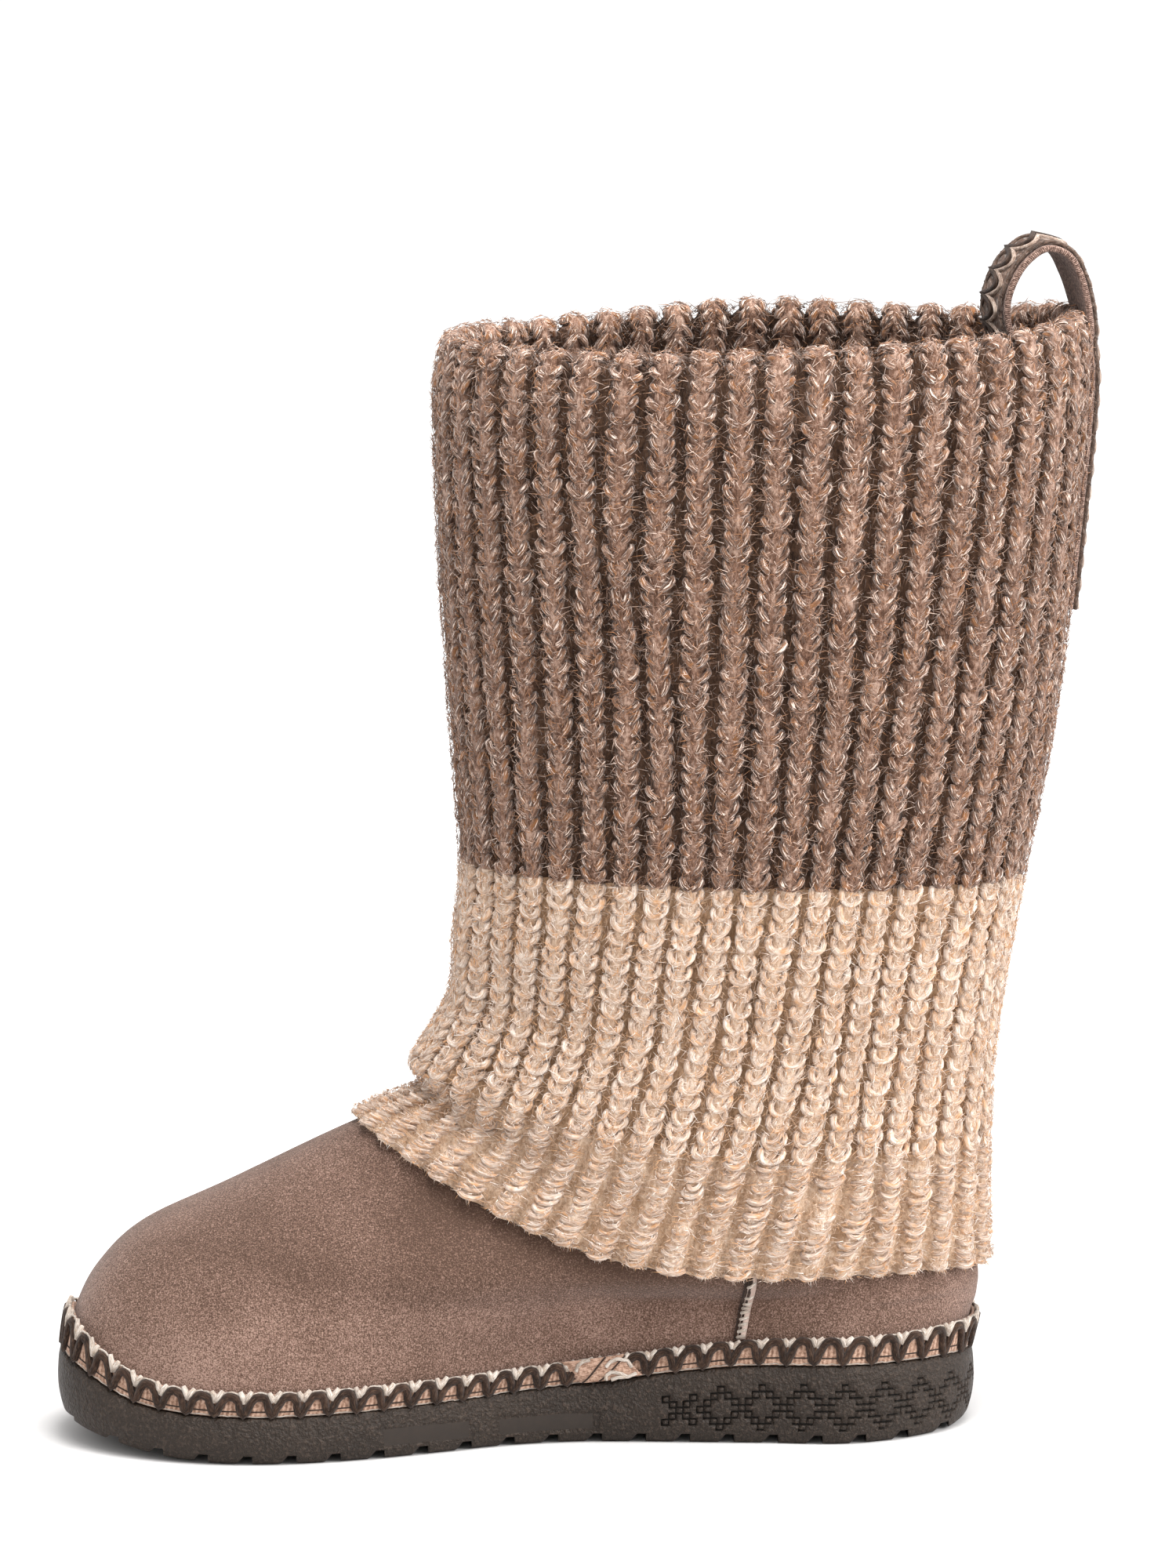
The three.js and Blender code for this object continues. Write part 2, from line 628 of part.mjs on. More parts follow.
const boot = new THREE.Group();
boot.add(namedMesh("outsole", makeOutsole(), solePlastic));
boot.add(namedMesh("insole", makeInsole(), fleece));
boot.add(namedMesh("upper", makeUpper(), suede));
boot.add(namedMesh("knit_shaft", makeKnitShaft(), brownKnit));
boot.add(namedMesh("braid_band", makeBraidBand(), wovenBraid));
boot.add(namedMesh("braid_lap", makeBraidLap(), wovenBraid));
boot.add(namedMesh("side_piping_inner", makeSidePiping(-1), creamStitch));
boot.add(namedMesh("side_piping_outer", makeSidePiping(1), creamStitch));
boot.add(namedMesh("pull_loop", makePullLoop(), backingTape));
boot.add(namedMesh("pull_loop_braid", makeLoopBraid(), wovenBraid));

export default boot;
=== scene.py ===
import math
import bpy
import numpy as np
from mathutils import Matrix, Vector


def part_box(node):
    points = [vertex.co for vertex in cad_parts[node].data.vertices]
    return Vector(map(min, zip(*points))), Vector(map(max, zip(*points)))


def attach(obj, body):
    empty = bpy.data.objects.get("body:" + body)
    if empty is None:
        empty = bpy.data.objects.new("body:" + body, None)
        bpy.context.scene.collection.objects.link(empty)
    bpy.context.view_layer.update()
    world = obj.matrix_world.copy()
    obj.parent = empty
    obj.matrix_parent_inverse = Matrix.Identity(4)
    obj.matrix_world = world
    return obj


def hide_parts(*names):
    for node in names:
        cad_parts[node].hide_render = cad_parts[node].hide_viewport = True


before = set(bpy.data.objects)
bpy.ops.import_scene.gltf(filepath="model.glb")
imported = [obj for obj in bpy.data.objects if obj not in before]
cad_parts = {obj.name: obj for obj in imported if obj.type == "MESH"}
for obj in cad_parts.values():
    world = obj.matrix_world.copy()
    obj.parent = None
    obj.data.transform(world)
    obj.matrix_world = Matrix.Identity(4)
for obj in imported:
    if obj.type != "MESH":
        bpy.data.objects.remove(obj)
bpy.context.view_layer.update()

# A pull-on winter boot: suede foot, ribbed knit shaft, woven braid over a wedge sole, pull loop at the back.
# Shapes are worked out in millimetres in the boot's own frame and turned into metres when a mesh is made.
millimetre = 0.001
tau = 2 * math.pi
chance = np.random.default_rng(11)
soleLow, soleHigh = (np.array(corner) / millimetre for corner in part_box("outsole"))

foot = {
    "length": soleHigh[0] - soleLow[0],
    "heelSetback": soleHigh[0],  # back of the sole to the middle of the heel's tread
    "ballWidth": 103,
    "instepHeight": 90.5,
    "seatHeight": 46,
    "wall": 3,
    "bluntness": 2.5,
    "dipSkew": 1.3,
    "seam": 0.3,
}
sole = {
    "lift": 24.4,
    "toeSpring": 6.5,
    "undercut": 3.2,
    "ledge": 0.6,  # sole that shows below the braid
    "deckMargin": 1,
}
shaft = {
    "collarHeight": 331,
    "length": 195,
    "width": 122,
    "wall": 6,
    "hemWall": 4.3,
    "bluntness": 2.15,
    "turnIn": 52,
    "turnInWall": 8.5,
    "rimRound": 4.2,
}
braid = {"height": 8.8, "thickness": 2.3, "gap": 0.5}


def table(names, *rows):
    return {name: np.array(column, float) for name, column in zip(names.split(), zip(*rows))}


# Sole outline, heel to toe: centre towards the outer side and half width, both shares of the ball's width
outline = table(
    "share centre fullness",
    (0, 0, 0.47),
    (0.13, 0, 0.47),
    (0.24, 0.015, 0.393),
    (0.42, 0.048, 0.351),
    (0.51, 0.053, 0.379),
    (0.59, 0.034, 0.434),
    (0.67, 0.017, 0.495),
    (0.77, -0.012, 0.544),
    (0.86, -0.038, 0.547),
    (1, -0.058, 0.505),
)
# Sole's side view: heights as shares of the lift, rise of the spring, braid of the braid's height
side = table(
    "share top deck rise braid",
    (0, 0.955, 0.94, 0.2, 1.42),
    (0.03, 0.98, 0.95, 0, 1.34),
    (0.1, 1, 0.96, 0, 1.14),
    (0.25, 0.985, 0.94, 0, 1),
    (0.33, 0.9, 0.86, 0, 1),
    (0.42, 0.77, 0.74, 0, 1),
    (0.52, 0.68, 0.65, 0, 1),
    (0.66, 0.623, 0.595, 0, 1),
    (0.8, 0.594, 0.565, 0, 1),
    (0.88, 0.625, 0.58, 0.12, 1),
    (0.93, 0.72, 0.63, 0.4, 1.08),
    (1, 1.1, 0.75, 1, 1.22),
)
# Side wall of the sole, tread to rim: rise a share of its height, inset a share of the undercut
wall = table("rise inset", (0, 1), (0.1, 0.5), (0.45, 0), (0.85, 0.06), (1, 0.28))
# Rings of the foot, up from the braid, as shares of its length, heights and the sole's widths
footRings = table(
    "toe toeHeight heel heelHeight dip fore aft",
    (0.98, 0.42, 0.003, 0.75, 0.106, 0.955, 0.96),
    (0.956, 0.54, -0.002, 0.83, 0.128, 0.915, 0.955),
    (0.908, 0.67, -0.004, 0.9, 0.148, 0.87, 0.955),
    (0.815, 0.8, -0.005, 0.96, 0.17, 0.85, 0.965),
)
# Shaft from hem to collar's shoulder, as shares of lengths that pass from the foot's to the collar's
shaftRings = table(
    "level front frontHeight back backHeight dip fore aft",
    (0, 0.68, 1.082, -0.02, 1.065, 0.222, 0.417, 0.409),
    (1, 0.625, 0.925, -0.018, 0.889, 0.152, 0.409, 0.405),
    (2, 0.656, 0.814, -0.018, 0.797, 0.095, 0.402, 0.395),
    (3, 0.651, 0.765, -0.02, 0.76, 0.051, 0.393, 0.386),
    (4, 0.651, 0.727, -0.025, 0.732, 0.029, 0.386, 0.382),
    (5, 0.669, 0.73, -0.042, 0.759, 0.015, 0.395, 0.393),
    (6, 0.686, 0.747, -0.064, 0.784, 0, 0.412, 0.412),
    (7, 0.726, 0.852, -0.107, 0.893, 0, 0.449, 0.449),
    (8, 0.77, 0.959, -0.139, 0.991, 0, 0.485, 0.485),
    (9, 0.808, 1.03, -0.164, 1.05, 0, 0.508, 0.508),
    (10, 0.833, 1, -0.165, 1.01, 0.007, 0.492, 0.492),
)
instepRise = (0.8, 2.6, 3.4, 3.6)  # millimetres added to the foot's rings on the toe side
# Inside the knit the foot follows the shaft, with slack under the fold over the instep
hiddenRings = [(0, 0), (1, 1.4), (3, 0.8), (4, 0.2), (5, 0)]
topLevel = 10
colourLevel = 6  # brown above, cream below
hemLevel = 5  # the foot's ring at the knit hem
baseInset = sole["ledge"] + braid["thickness"] + braid["gap"]


def mix(a, b, share):
    return a + (b - a) * share


def smoothStep(low, high, value):
    t = np.clip((np.asarray(value, float) - low) / (high - low), 0, 1)
    return t * t * (3 - 2 * t)


def bump(value, middle, width):
    return np.exp(-(((value - middle) / width) ** 2))


# A table's column as a smooth curve
def read(rows, column, at, key="share"):
    keys = rows[key]
    values = rows[column]
    last = len(keys) - 1
    order = np.arange(last + 1)
    before = np.maximum(order - 1, 0)
    after = np.minimum(order + 1, last)
    slopes = (values[after] - values[before]) / (keys[after] - keys[before])
    i = np.clip(np.searchsorted(keys, at) - 1, 0, last - 1)
    step = keys[i + 1] - keys[i]
    t = np.clip((at - keys[i]) / step, 0, 1)
    t2 = t * t
    t3 = t2 * t
    ends = (2 * t3 - 3 * t2 + 1) * values[i] + (3 * t2 - 2 * t3) * values[i + 1]
    return ends + step * ((t3 - 2 * t2 + t) * slopes[i] + (t3 - t2) * slopes[i + 1])


def stack(x, y, z):
    return np.stack(np.broadcast_arrays(x, y, z), axis=-1).astype(float)


# A point round a blunt oval that starts at the heel: along is 0 to 1 from heel to toe, across -1 to 1
def oval(angle, bluntness):
    power = 2 / bluntness
    c = np.cos(angle)
    s = np.sin(angle)
    return (1 - np.sign(c) * np.abs(c) ** power) / 2, np.sign(s) * np.abs(s) ** power


def dipShape(along):
    return np.sin(np.pi * along ** foot["dipSkew"])


def soleTop(share):
    return sole["lift"] * read(side, "top", share)


def soleDeck(share):
    return sole["lift"] * read(side, "deck", share)


def soleBottom(share):
    return sole["toeSpring"] * np.maximum(0, read(side, "rise", share))


def baseHeight(share):
    return soleTop(share) + foot["seam"]


# A point of the sole's outline, moved in from its edge, at the height that heightAt gives
def outlinePoint(angle, inset, heightAt):
    along, across = oval(angle, foot["bluntness"])
    centre = foot["ballWidth"] * read(outline, "centre", along)
    half = foot["ballWidth"] * read(outline, "fullness", along) - inset
    x = foot["heelSetback"] - inset - (foot["length"] - 2 * inset) * along
    return stack(x, centre + half * across, heightAt(along))


def shaftPoint(angle, level):
    along, across = oval(angle, shaft["bluntness"])
    share = np.minimum(1, level / topLevel)

    def scaled(column, low, high):
        return read(shaftRings, column, level, "level") * mix(low, high, share)

    back = scaled("back", foot["length"], shaft["length"])
    front = scaled("front", foot["length"], shaft["length"])
    backHeight = scaled("backHeight", foot["seatHeight"], shaft["collarHeight"])
    frontHeight = scaled("frontHeight", foot["instepHeight"], shaft["collarHeight"])
    aft = scaled("aft", foot["ballWidth"], shaft["width"])
    fore = scaled("fore", foot["ballWidth"], shaft["width"])
    dip = foot["instepHeight"] * read(shaftRings, "dip", level, "level") * dipShape(along)
    x = foot["heelSetback"] - mix(back, front, along)
    return stack(x, mix(aft, fore, along) * across, mix(backHeight, frontHeight, along) - dip)


def unit(vectors):
    return vectors / np.maximum(np.linalg.norm(vectors, axis=-1, keepdims=True), 1e-9)


def normalAt(pointAt, angle, level):
    around = pointAt(angle + 0.01, level) - pointAt(angle - 0.01, level)
    up = pointAt(angle, level + 0.02) - pointAt(angle, level - 0.02)
    return unit(np.cross(around, up))


def offsetPoint(pointAt, angle, level, distance):
    away = np.broadcast_to(distance, np.broadcast(angle, level, distance).shape)[..., None]
    return pointAt(angle, level) + normalAt(pointAt, angle, level) * away


def knitThickness(level):
    return mix(shaft["hemWall"], shaft["wall"], min(1, level / 2))


def footRing(angle, index):
    if index <= 0:
        return outlinePoint(angle, baseInset, baseHeight)
    if index >= hemLevel:
        level, slack = hiddenRings[min(index - hemLevel, len(hiddenRings) - 1)]
        return offsetPoint(shaftPoint, angle, level, -(knitThickness(level) + foot["seam"] + slack))
    row = {name: column[index - 1] for name, column in footRings.items()}
    along, across = oval(angle, mix(foot["bluntness"], shaft["bluntness"], index / hemLevel))
    centre = foot["ballWidth"] * read(outline, "centre", along) * (1 - index / hemLevel)
    full = foot["ballWidth"] * read(outline, "fullness", along) - baseInset
    half = full * mix(row["aft"], row["fore"], along)
    heelHeight = foot["seatHeight"] * row["heelHeight"]
    toeHeight = foot["instepHeight"] * row["toeHeight"]
    x = foot["heelSetback"] - foot["length"] * mix(row["heel"], row["toe"], along)
    z = mix(heelHeight, toeHeight, along) - foot["instepHeight"] * row["dip"] * dipShape(along)
    z = z + instepRise[index - 1] * smoothStep(0.25, 0.7, along)
    return stack(x, centre + half * across, z)


# The foot between its rings is a smooth curve through the four nearest
def footPoint(angle, level):
    angle, level = np.broadcast_arrays(np.asarray(angle, float), np.asarray(level, float))
    lower = np.maximum(0, np.floor(level)).astype(int)
    t = level - lower
    weights = [
        (-t + 2 * t**2 - t**3) / 2,
        (2 - 5 * t**2 + 3 * t**3) / 2,
        (t + 4 * t**2 - 3 * t**3) / 2,
        (t**3 - t**2) / 2,
    ]
    total = np.zeros(angle.shape + (3,))
    for k, weight in enumerate(weights):
        index = lower - 1 + k
        for value in np.unique(index):
            picked = index == value
            total[picked] += weight[picked][:, None] * footRing(angle[picked], value)
    return total


# Meshes
def addPiece(name, points, faces, material, slot, nodes=(), uv=None):
    mesh = bpy.data.meshes.new(name)
    mesh.from_pydata((points * millimetre).tolist(), [], faces)
    if uv is not None:
        layer = mesh.uv_layers.new(name="UVMap")
        layer.data.foreach_set("uv", np.asarray(uv, np.float32).ravel())
    mesh.materials.append(material)
    mesh.shade_smooth()
    piece = bpy.data.objects.new(name, mesh)
    bpy.context.scene.collection.objects.link(piece)
    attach(piece, "root")
    if nodes:
        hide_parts(*nodes)
    return piece


# Faces between rows of a grid of points, its corners' places in the grid, closed round the rows if asked
def gridFaces(rows, columns, closed=True, ringed=False):
    steps = columns if closed else columns - 1
    lines = rows if ringed else rows - 1
    r, c = np.meshgrid(np.arange(lines), np.arange(steps), indexing="ij")
    nextRow = (r + 1) % rows
    nextColumn = (c + 1) % columns
    quads = np.stack(
        [r * columns + c, r * columns + nextColumn, nextRow * columns + nextColumn, nextRow * columns + c], axis=-1
    ).reshape(-1, 4)
    corners = np.stack(
        [np.stack([c + i, r + j], axis=-1) for i, j in ((0, 0), (1, 0), (1, 1), (0, 1))], axis=2
    ).reshape(-1, 4, 2)
    return quads, corners


# Round yarns along many paths of the same number of points, closed at both ends; out is the way off the cloth
def yarns(paths, radius, out, sides):
    count, steps = paths.shape[:2]
    radius = np.broadcast_to(radius, (count, steps))[..., None, None]
    along = unit(np.gradient(paths, axis=1))
    across = unit(np.cross(along, out))
    up = np.cross(across, along)
    turn = np.arange(sides) * tau / sides
    ring = np.cos(turn)[:, None] * -up[:, :, None] + np.sin(turn)[:, None] * across[:, :, None]
    points = (paths[:, :, None] + radius * ring).reshape(-1, 3)
    quads, corners = gridFaces(steps, sides)
    starts = np.arange(count)[:, None, None] * steps * sides
    faces = (quads[None] + starts).reshape(-1, 4)
    length = np.cumsum(np.linalg.norm(np.diff(paths, axis=1, prepend=paths[:, :1]), axis=2), axis=1)
    uv = np.empty((count,) + corners.shape)
    uv[..., 0] = length[:, corners[:, :, 1]] / 10 + chance.uniform(0, 50, count)[:, None, None]
    uv[..., 1] = corners[None, :, :, 0] / sides
    caps = []
    capUv = []
    for edge in (np.arange(sides)[::-1], (steps - 1) * sides + np.arange(sides)):
        caps += (edge[None] + np.arange(count)[:, None] * steps * sides).tolist()
        capUv.append(np.zeros((count * sides, 2)))
    return points, faces.tolist() + caps, np.concatenate([uv.reshape(-1, 2)] + capUv)


# Several (points, faces, uv) as one
def joined(*parts):
    points = []
    faces = []
    uvs = []
    start = 0
    for partPoints, partFaces, partUv in parts:
        points.append(partPoints)
        faces += [[index + start for index in face] for face in partFaces]
        uvs.append(partUv)
        start += len(partPoints)
    return np.concatenate(points), faces, np.concatenate(uvs)


# Materials
class Recipe:
    def __init__(self, name):
        self.material = bpy.data.materials.new(name)
        self.material.use_nodes = True
        self.tree = self.material.node_tree
        self.shader = self.tree.nodes["Principled BSDF"]
        self.place = self.add("ShaderNodeTexCoord")

    def add(self, kind, inputs=None, **settings):
        made = self.tree.nodes.new(kind)
        for name, value in settings.items():
            setattr(made, name, value)
        for socket, value in (inputs or {}).items():
            self.feed(made.inputs[socket], value)
        return made

    def feed(self, socket, value):
        if isinstance(value, bpy.types.NodeSocket):
            self.tree.links.new(value, socket)
        else:
            socket.default_value = value

    def scaled(self, source, scale):
        mapping = self.add("ShaderNodeMapping", {"Vector": source, "Scale": scale})
        return mapping.outputs["Vector"]

    def noise(self, vector, scale, detail=3, roughness=0.55):
        made = self.add(
            "ShaderNodeTexNoise",
            {"Vector": vector, "Scale": scale, "Detail": detail, "Roughness": roughness},
        )
        return made.outputs["Fac"]

    def maths(self, operation, a, b=0.5, c=0.5):
        made = self.add("ShaderNodeMath", {0: a, 1: b, 2: c}, operation=operation)
        return made.outputs[0]

    def ramp(self, factor, *stops):
        made = self.add("ShaderNodeValToRGB", {"Fac": factor})
        elements = made.color_ramp.elements
        while len(elements) < len(stops):
            elements.new(1)
        for element, (position, colour) in zip(elements, stops):
            element.position = position
            element.color = (*linear(colour), 1) if isinstance(colour, tuple) else (colour, colour, colour, 1)
        return made.outputs["Color"]

    def blend(self, factor, a, b, kind="MIX"):
        made = self.add("ShaderNodeMix", data_type="RGBA", blend_type=kind)
        self.feed(made.inputs[0], factor)
        for socket, value in ((6, a), (7, b)):
            self.feed(made.inputs[socket], (*linear(value), 1) if isinstance(value, tuple) else value)
        return made.outputs[2]

    def relief(self, height, distance, strength=1.0, under=None):
        inputs = {"Height": height, "Distance": distance * millimetre, "Strength": strength}
        if under is not None:
            inputs["Normal"] = under
        return self.add("ShaderNodeBump", inputs).outputs["Normal"]

    def finish(self, colour, normal=None, **values):
        self.feed(self.shader.inputs["Base Color"], colour)
        if normal is not None:
            self.feed(self.shader.inputs["Normal"], normal)
        for name, value in values.items():
            self.feed(self.shader.inputs[name.replace("_", " ")], value)
        return self.material


# Colours are written as 0 to 255, as on a screen
def linear(colour):
    share = np.array(colour) / 255
    return tuple(np.where(share <= 0.04045, share / 12.92, ((share + 0.055) / 1.055) ** 2.4).tolist())


# Fuzzy yarn: marled in stretches along its length, streaked by its fibres, flecked with brighter ones that are partly
# paler fibres and partly painted highlights of fibre sheen
def yarnMaterial(name, looks):
    recipe = Recipe(name)
    yarn = recipe.place.outputs["UV"]
    marl = recipe.noise(recipe.scaled(yarn, (looks["marl"], 0.8, 1)), 1, 2, 0.5)
    streaks = recipe.noise(recipe.scaled(yarn, (looks["streak"], looks["streak"] * 4.5, 1)), 1, 2, 0.6)
    patches = recipe.noise(recipe.place.outputs["Object"], looks["patchScale"], 2)
    fibres = recipe.noise(recipe.scaled(yarn, (7, 22, 1)), 1.5, 3, 0.7)
    tone = recipe.maths("ADD", recipe.maths("MULTIPLY", marl, 0.22), recipe.maths("MULTIPLY", streaks, 0.46))
    tone = recipe.maths("ADD", tone, recipe.maths("MULTIPLY", patches, 0.12))
    tone = recipe.maths("ADD", tone, recipe.maths("MULTIPLY", fibres, 0.2))
    colour = recipe.ramp(tone, *looks["shades"])
    tints = recipe.noise(recipe.scaled(yarn, (looks["marl"] * 1.3, 1.2, 1)), 1.7, 2)
    colour = recipe.blend(recipe.ramp(tints, (0.5, 0), (0.66, looks["tinted"])), colour, looks["tint"])
    # partly painted highlight: bright flecks stand in for sheen on the fibres as well as for paler fibres
    flecks = recipe.noise(recipe.scaled(yarn, (looks["streak"] * 0.8, looks["streak"] * 4, 1)), 1.6, 1)
    colour = recipe.blend(recipe.ramp(flecks, (0.56, 0), (0.66, looks["flecked"])), colour, looks["fleck"])
    normal = recipe.relief(fibres, 0.5, looks["relief"])
    return recipe.finish(
        colour, normal, Roughness=0.95, Sheen_Weight=looks["sheen"], Sheen_Roughness=0.5, Specular_IOR_Level=0.1
    )


knit = {
    "ribs": 44,
    "perRib": 12,  # samples of the cloth's surface across a rib
    "perCourse": 4,  # and along a course
    "hemCourses": 15,
    "hemCourse": 2.3,
    "creamCourse": 4.6,
    "brownCourse": 4.6,
    "bedDepth": 0.4,  # cloth under the stitches
    "valleyDepth": 4.2,
    "ladder": 0.35,
    "sway": 0.03,  # how far ribs stray, in ribs
}
ribColumns = knit["ribs"] * knit["perRib"]


def shaftLevelAt(height):
    levels = np.linspace(0, topLevel, 4001)
    return float(np.interp(height, shaftPoint(0.0, levels)[:, 2], levels))


def lengthsRound(level):
    ring = shaftPoint(np.linspace(0, tau, 721), level)
    return np.concatenate([[0], np.cumsum(np.linalg.norm(np.diff(ring, axis=0), axis=1))])


steadyLevels = (0, 2.4)
steadyGirths = [lengthsRound(level)[-1] for level in steadyLevels]


# Angles that divide a level of the shaft into equal ribs; over the crease only the front ones are squeezed
def evenAngles(level, count):
    lengths = lengthsRound(level)
    share = np.arange(count) / count
    half = np.minimum(share, 1 - share)
    squeeze = max(0, float(np.interp(level, steadyLevels, steadyGirths)) / lengths[-1] - 1) if level < 2.4 else 0
    half = half * (1 + squeeze * (1 - (2 * half) ** 4))
    share = np.where(share <= 0.5, half, 1 - half)
    return np.interp(share * lengths[-1], lengths, np.linspace(0, tau, 721))


def clothRow(level, depth=0.0, lift=0.0, count=ribColumns):
    row = offsetPoint(shaftPoint, evenAngles(level, count), level, -depth)
    row[:, 2] += lift
    return row


# Rows of a track, drawn again so that they lie at the given shares of each column's own length
def evenRows(track, shares):
    track = np.array(track)
    steps = np.linalg.norm(np.diff(track, axis=0), axis=2)
    lengths = np.concatenate([np.zeros((1, track.shape[1])), np.cumsum(steps, axis=0)])
    rows = np.empty((len(shares), track.shape[1], 3))
    for column in range(track.shape[1]):
        for axis in range(3):
            wanted = shares * lengths[-1, column]
            rows[:, column, axis] = np.interp(wanted, lengths[:, column], track[:, column, axis])
    return rows, float(lengths[-1].mean())


# The knitted cloth's surface as a grid, from the hem, over the rolled collar and down inside it
def layCloth():
    turnInLevel = shaftLevelAt(shaft["collarHeight"] - shaft["turnIn"])
    cream = [clothRow(level) for level in np.linspace(0, colourLevel, 97)]
    brown = [clothRow(level) for level in np.linspace(colourLevel, topLevel, 65)]
    for turn in np.linspace(0, math.pi, 13)[1:-1]:
        depth = shaft["turnInWall"] * (1 - math.cos(turn)) / 2
        brown.append(clothRow(topLevel, depth, shaft["rimRound"] * math.sin(turn)))
    brown += [clothRow(level, shaft["turnInWall"]) for level in np.linspace(topLevel, turnInLevel, 25)]
    creamLength = evenRows(cream, np.array([0.0, 1.0]))[1]
    brownLength = evenRows(brown, np.array([0.0, 1.0]))[1]
    hemShare = knit["hemCourses"] * knit["hemCourse"] / creamLength
    creamCourses = round(creamLength * (1 - hemShare) / knit["creamCourse"])
    brownCourses = round(brownLength / knit["brownCourse"])
    per = knit["perCourse"]
    shares = np.concatenate(
        [
            np.linspace(0, hemShare, knit["hemCourses"] * per + 1)[:-1],
            np.linspace(hemShare, 1, creamCourses * per + 1),
        ]
    )
    creamRows = evenRows(cream, shares)[0]
    brownRows = evenRows(brown, np.linspace(0, 1, brownCourses * per + 1))[0]
    rows = np.concatenate([creamRows, brownRows[1:]])
    around = np.roll(rows, -1, axis=1) - np.roll(rows, 1, axis=1)
    normals = unit(np.cross(around, np.gradient(rows, axis=0)))
    print("cloth:", rows.shape, "courses", knit["hemCourses"], creamCourses, brownCourses)
    return rows, normals, creamCourses, brownCourses


clothPoints, clothNormals, creamCourses, brownCourses = layCloth()
colourCourse = knit["hemCourses"] + creamCourses
lastCourse = colourCourse + brownCourses


def fromCloth(grid, rib, course):
    u = rib * knit["perRib"]
    v = np.clip(course * knit["perCourse"], 0, len(grid) - 1.001)
    i = np.floor(v).astype(int)
    j = np.floor(u).astype(int)
    s = (u - j)[..., None]
    t = (v - i)[..., None]
    left = j % ribColumns
    right = (j + 1) % ribColumns
    return mix(mix(grid[i, left], grid[i, right], s), mix(grid[i + 1, left], grid[i + 1, right], s), t)


swayWaves = [
    (count, length, chance.uniform(0, tau), chance.uniform(0.5, 1))
    for count, length in ((3, 37), (5, 29), (8, 41), (11, 23), (16, 17))
]


def ribSway(rib, course):
    total = 0
    for count, length, phase, size in swayWaves:
        total = total + size * np.sin(tau * (count * rib / knit["ribs"] + course / length) + phase)
    return knit["sway"] * total


rimCourse = np.argmax(clothPoints[..., 2].mean(axis=1)) / knit["perCourse"]
rimHumps = ((0, 3.6, 3), (10.8, 2.2, 1.9), (17, 2, -1), (36, 4, 0.8), (5.5, 2, -1.2))  # rib, half width, height


def rimLift(rib, course):
    total = 0
    for middle, width, height in rimHumps:
        away = np.mod(rib - middle + knit["ribs"] / 2, knit["ribs"]) - knit["ribs"] / 2
        total = total + height * np.exp(-((away / width) ** 2))
    ripple = 0.7 * np.cos(tau * rib)
    return (total + ripple) * smoothStep(8, 0.5, np.abs(course - rimCourse))


# A place on the cloth: rib and course count stitches, out is millimetres off its surface
def onCloth(rib, course, out):
    rib, course, out = np.broadcast_arrays(rib, course, out)
    rib = rib + ribSway(rib, course)
    normals = unit(fromCloth(clothNormals, rib, course))
    points = fromCloth(clothPoints, rib, course) + normals * out[..., None]
    points[..., 2] += rimLift(rib, course)
    return points, normals


# One family of knitted cups: t runs over the yarn from the left shoulder through the cup's foot to the right
def knitCups(looks, firstCourse, courses):
    t = np.linspace(-1, 1, looks["steps"])
    turn = t * math.radians(looks["turn"])
    bend = looks["round"] * (1 - np.cos(turn)) + looks["slope"] * np.abs(np.sin(turn)) ** 1.3
    ribs, rows = np.meshgrid(np.arange(knit["ribs"]), firstCourse + np.arange(courses), indexing="ij")
    count = ribs.size

    def jitter(size):
        return chance.normal(0, size * looks["loose"], count)[:, None]

    even = np.where(rows.reshape(-1, 1) % 2 < 1, 1, -1) * looks["pairs"]

    across = looks["spread"] * np.sin(turn) * (1 + jitter(0.09) + 0.4 * even)
    rise = bend * (1 + jitter(0.1)) + looks["skew"] * t + jitter(0.06) + jitter(0.09) * t
    out = -looks["sunk"] - looks["dive"] * np.abs(t) ** looks["diveBow"] + jitter(0.2) + even
    out = out - looks["foot"] * np.exp(-((t / 0.22) ** 2))
    rib = ribs.reshape(-1, 1) + across + jitter(0.012)
    paths, normals = onCloth(rib, rows.reshape(-1, 1) + rise, out)
    thin = 1 - looks["taper"] * np.abs(t) ** 4
    radius = looks["radius"] * thin * (1 + jitter(0.08))
    return yarns(paths, radius, normals, looks["sides"])


# The closed sleeve under the stitches, with its ribs and the bars that cross its valleys
def knitBed():
    perRib = 6
    rib, course = np.meshgrid(
        np.arange(knit["ribs"] * perRib) / perRib, np.arange(0, lastCourse * 2 + 1) / 2, indexing="xy"
    )
    crest = (0.5 + 0.5 * np.cos(tau * rib)) ** 0.7
    bars = np.where(np.round(course * 2) % 2 == 0, 1, -1) * knit["ladder"] * (1 - crest) ** 2
    depth = mix(knit["valleyDepth"], knit["bedDepth"], crest)
    hemEase = smoothStep(knit["hemCourses"] - 2, knit["hemCourses"] + 2, course)
    depth = mix(mix(3.6, 0.5, crest), depth, hemEase)
    scallop = 0.5 * (1 - crest) * (1 - smoothStep(0, 3, course))
    outer = onCloth(rib, course + scallop, bars - depth)[0]
    turnInLevel = shaftLevelAt(shaft["collarHeight"] - shaft["turnIn"])
    levels = np.concatenate([[turnInLevel - 0.06], np.arange(7.5, -0.1, -0.5)])
    inner = np.array([clothRow(level, knitThickness(level), 0, knit["ribs"] * perRib) for level in levels])
    points = np.concatenate([outer, inner])
    quads, corners = gridFaces(len(points), points.shape[1], ringed=True)
    innerCourse = np.interp(levels, [0, colourLevel, topLevel], [0, colourCourse, lastCourse])
    courses = np.concatenate([course[:, 0], innerCourse, [0]])
    uv = np.stack([corners[..., 0] / perRib / 10, courses[corners[..., 1]] / 10], axis=-1)
    return points.reshape(-1, 3), quads.tolist(), uv.reshape(-1, 2)


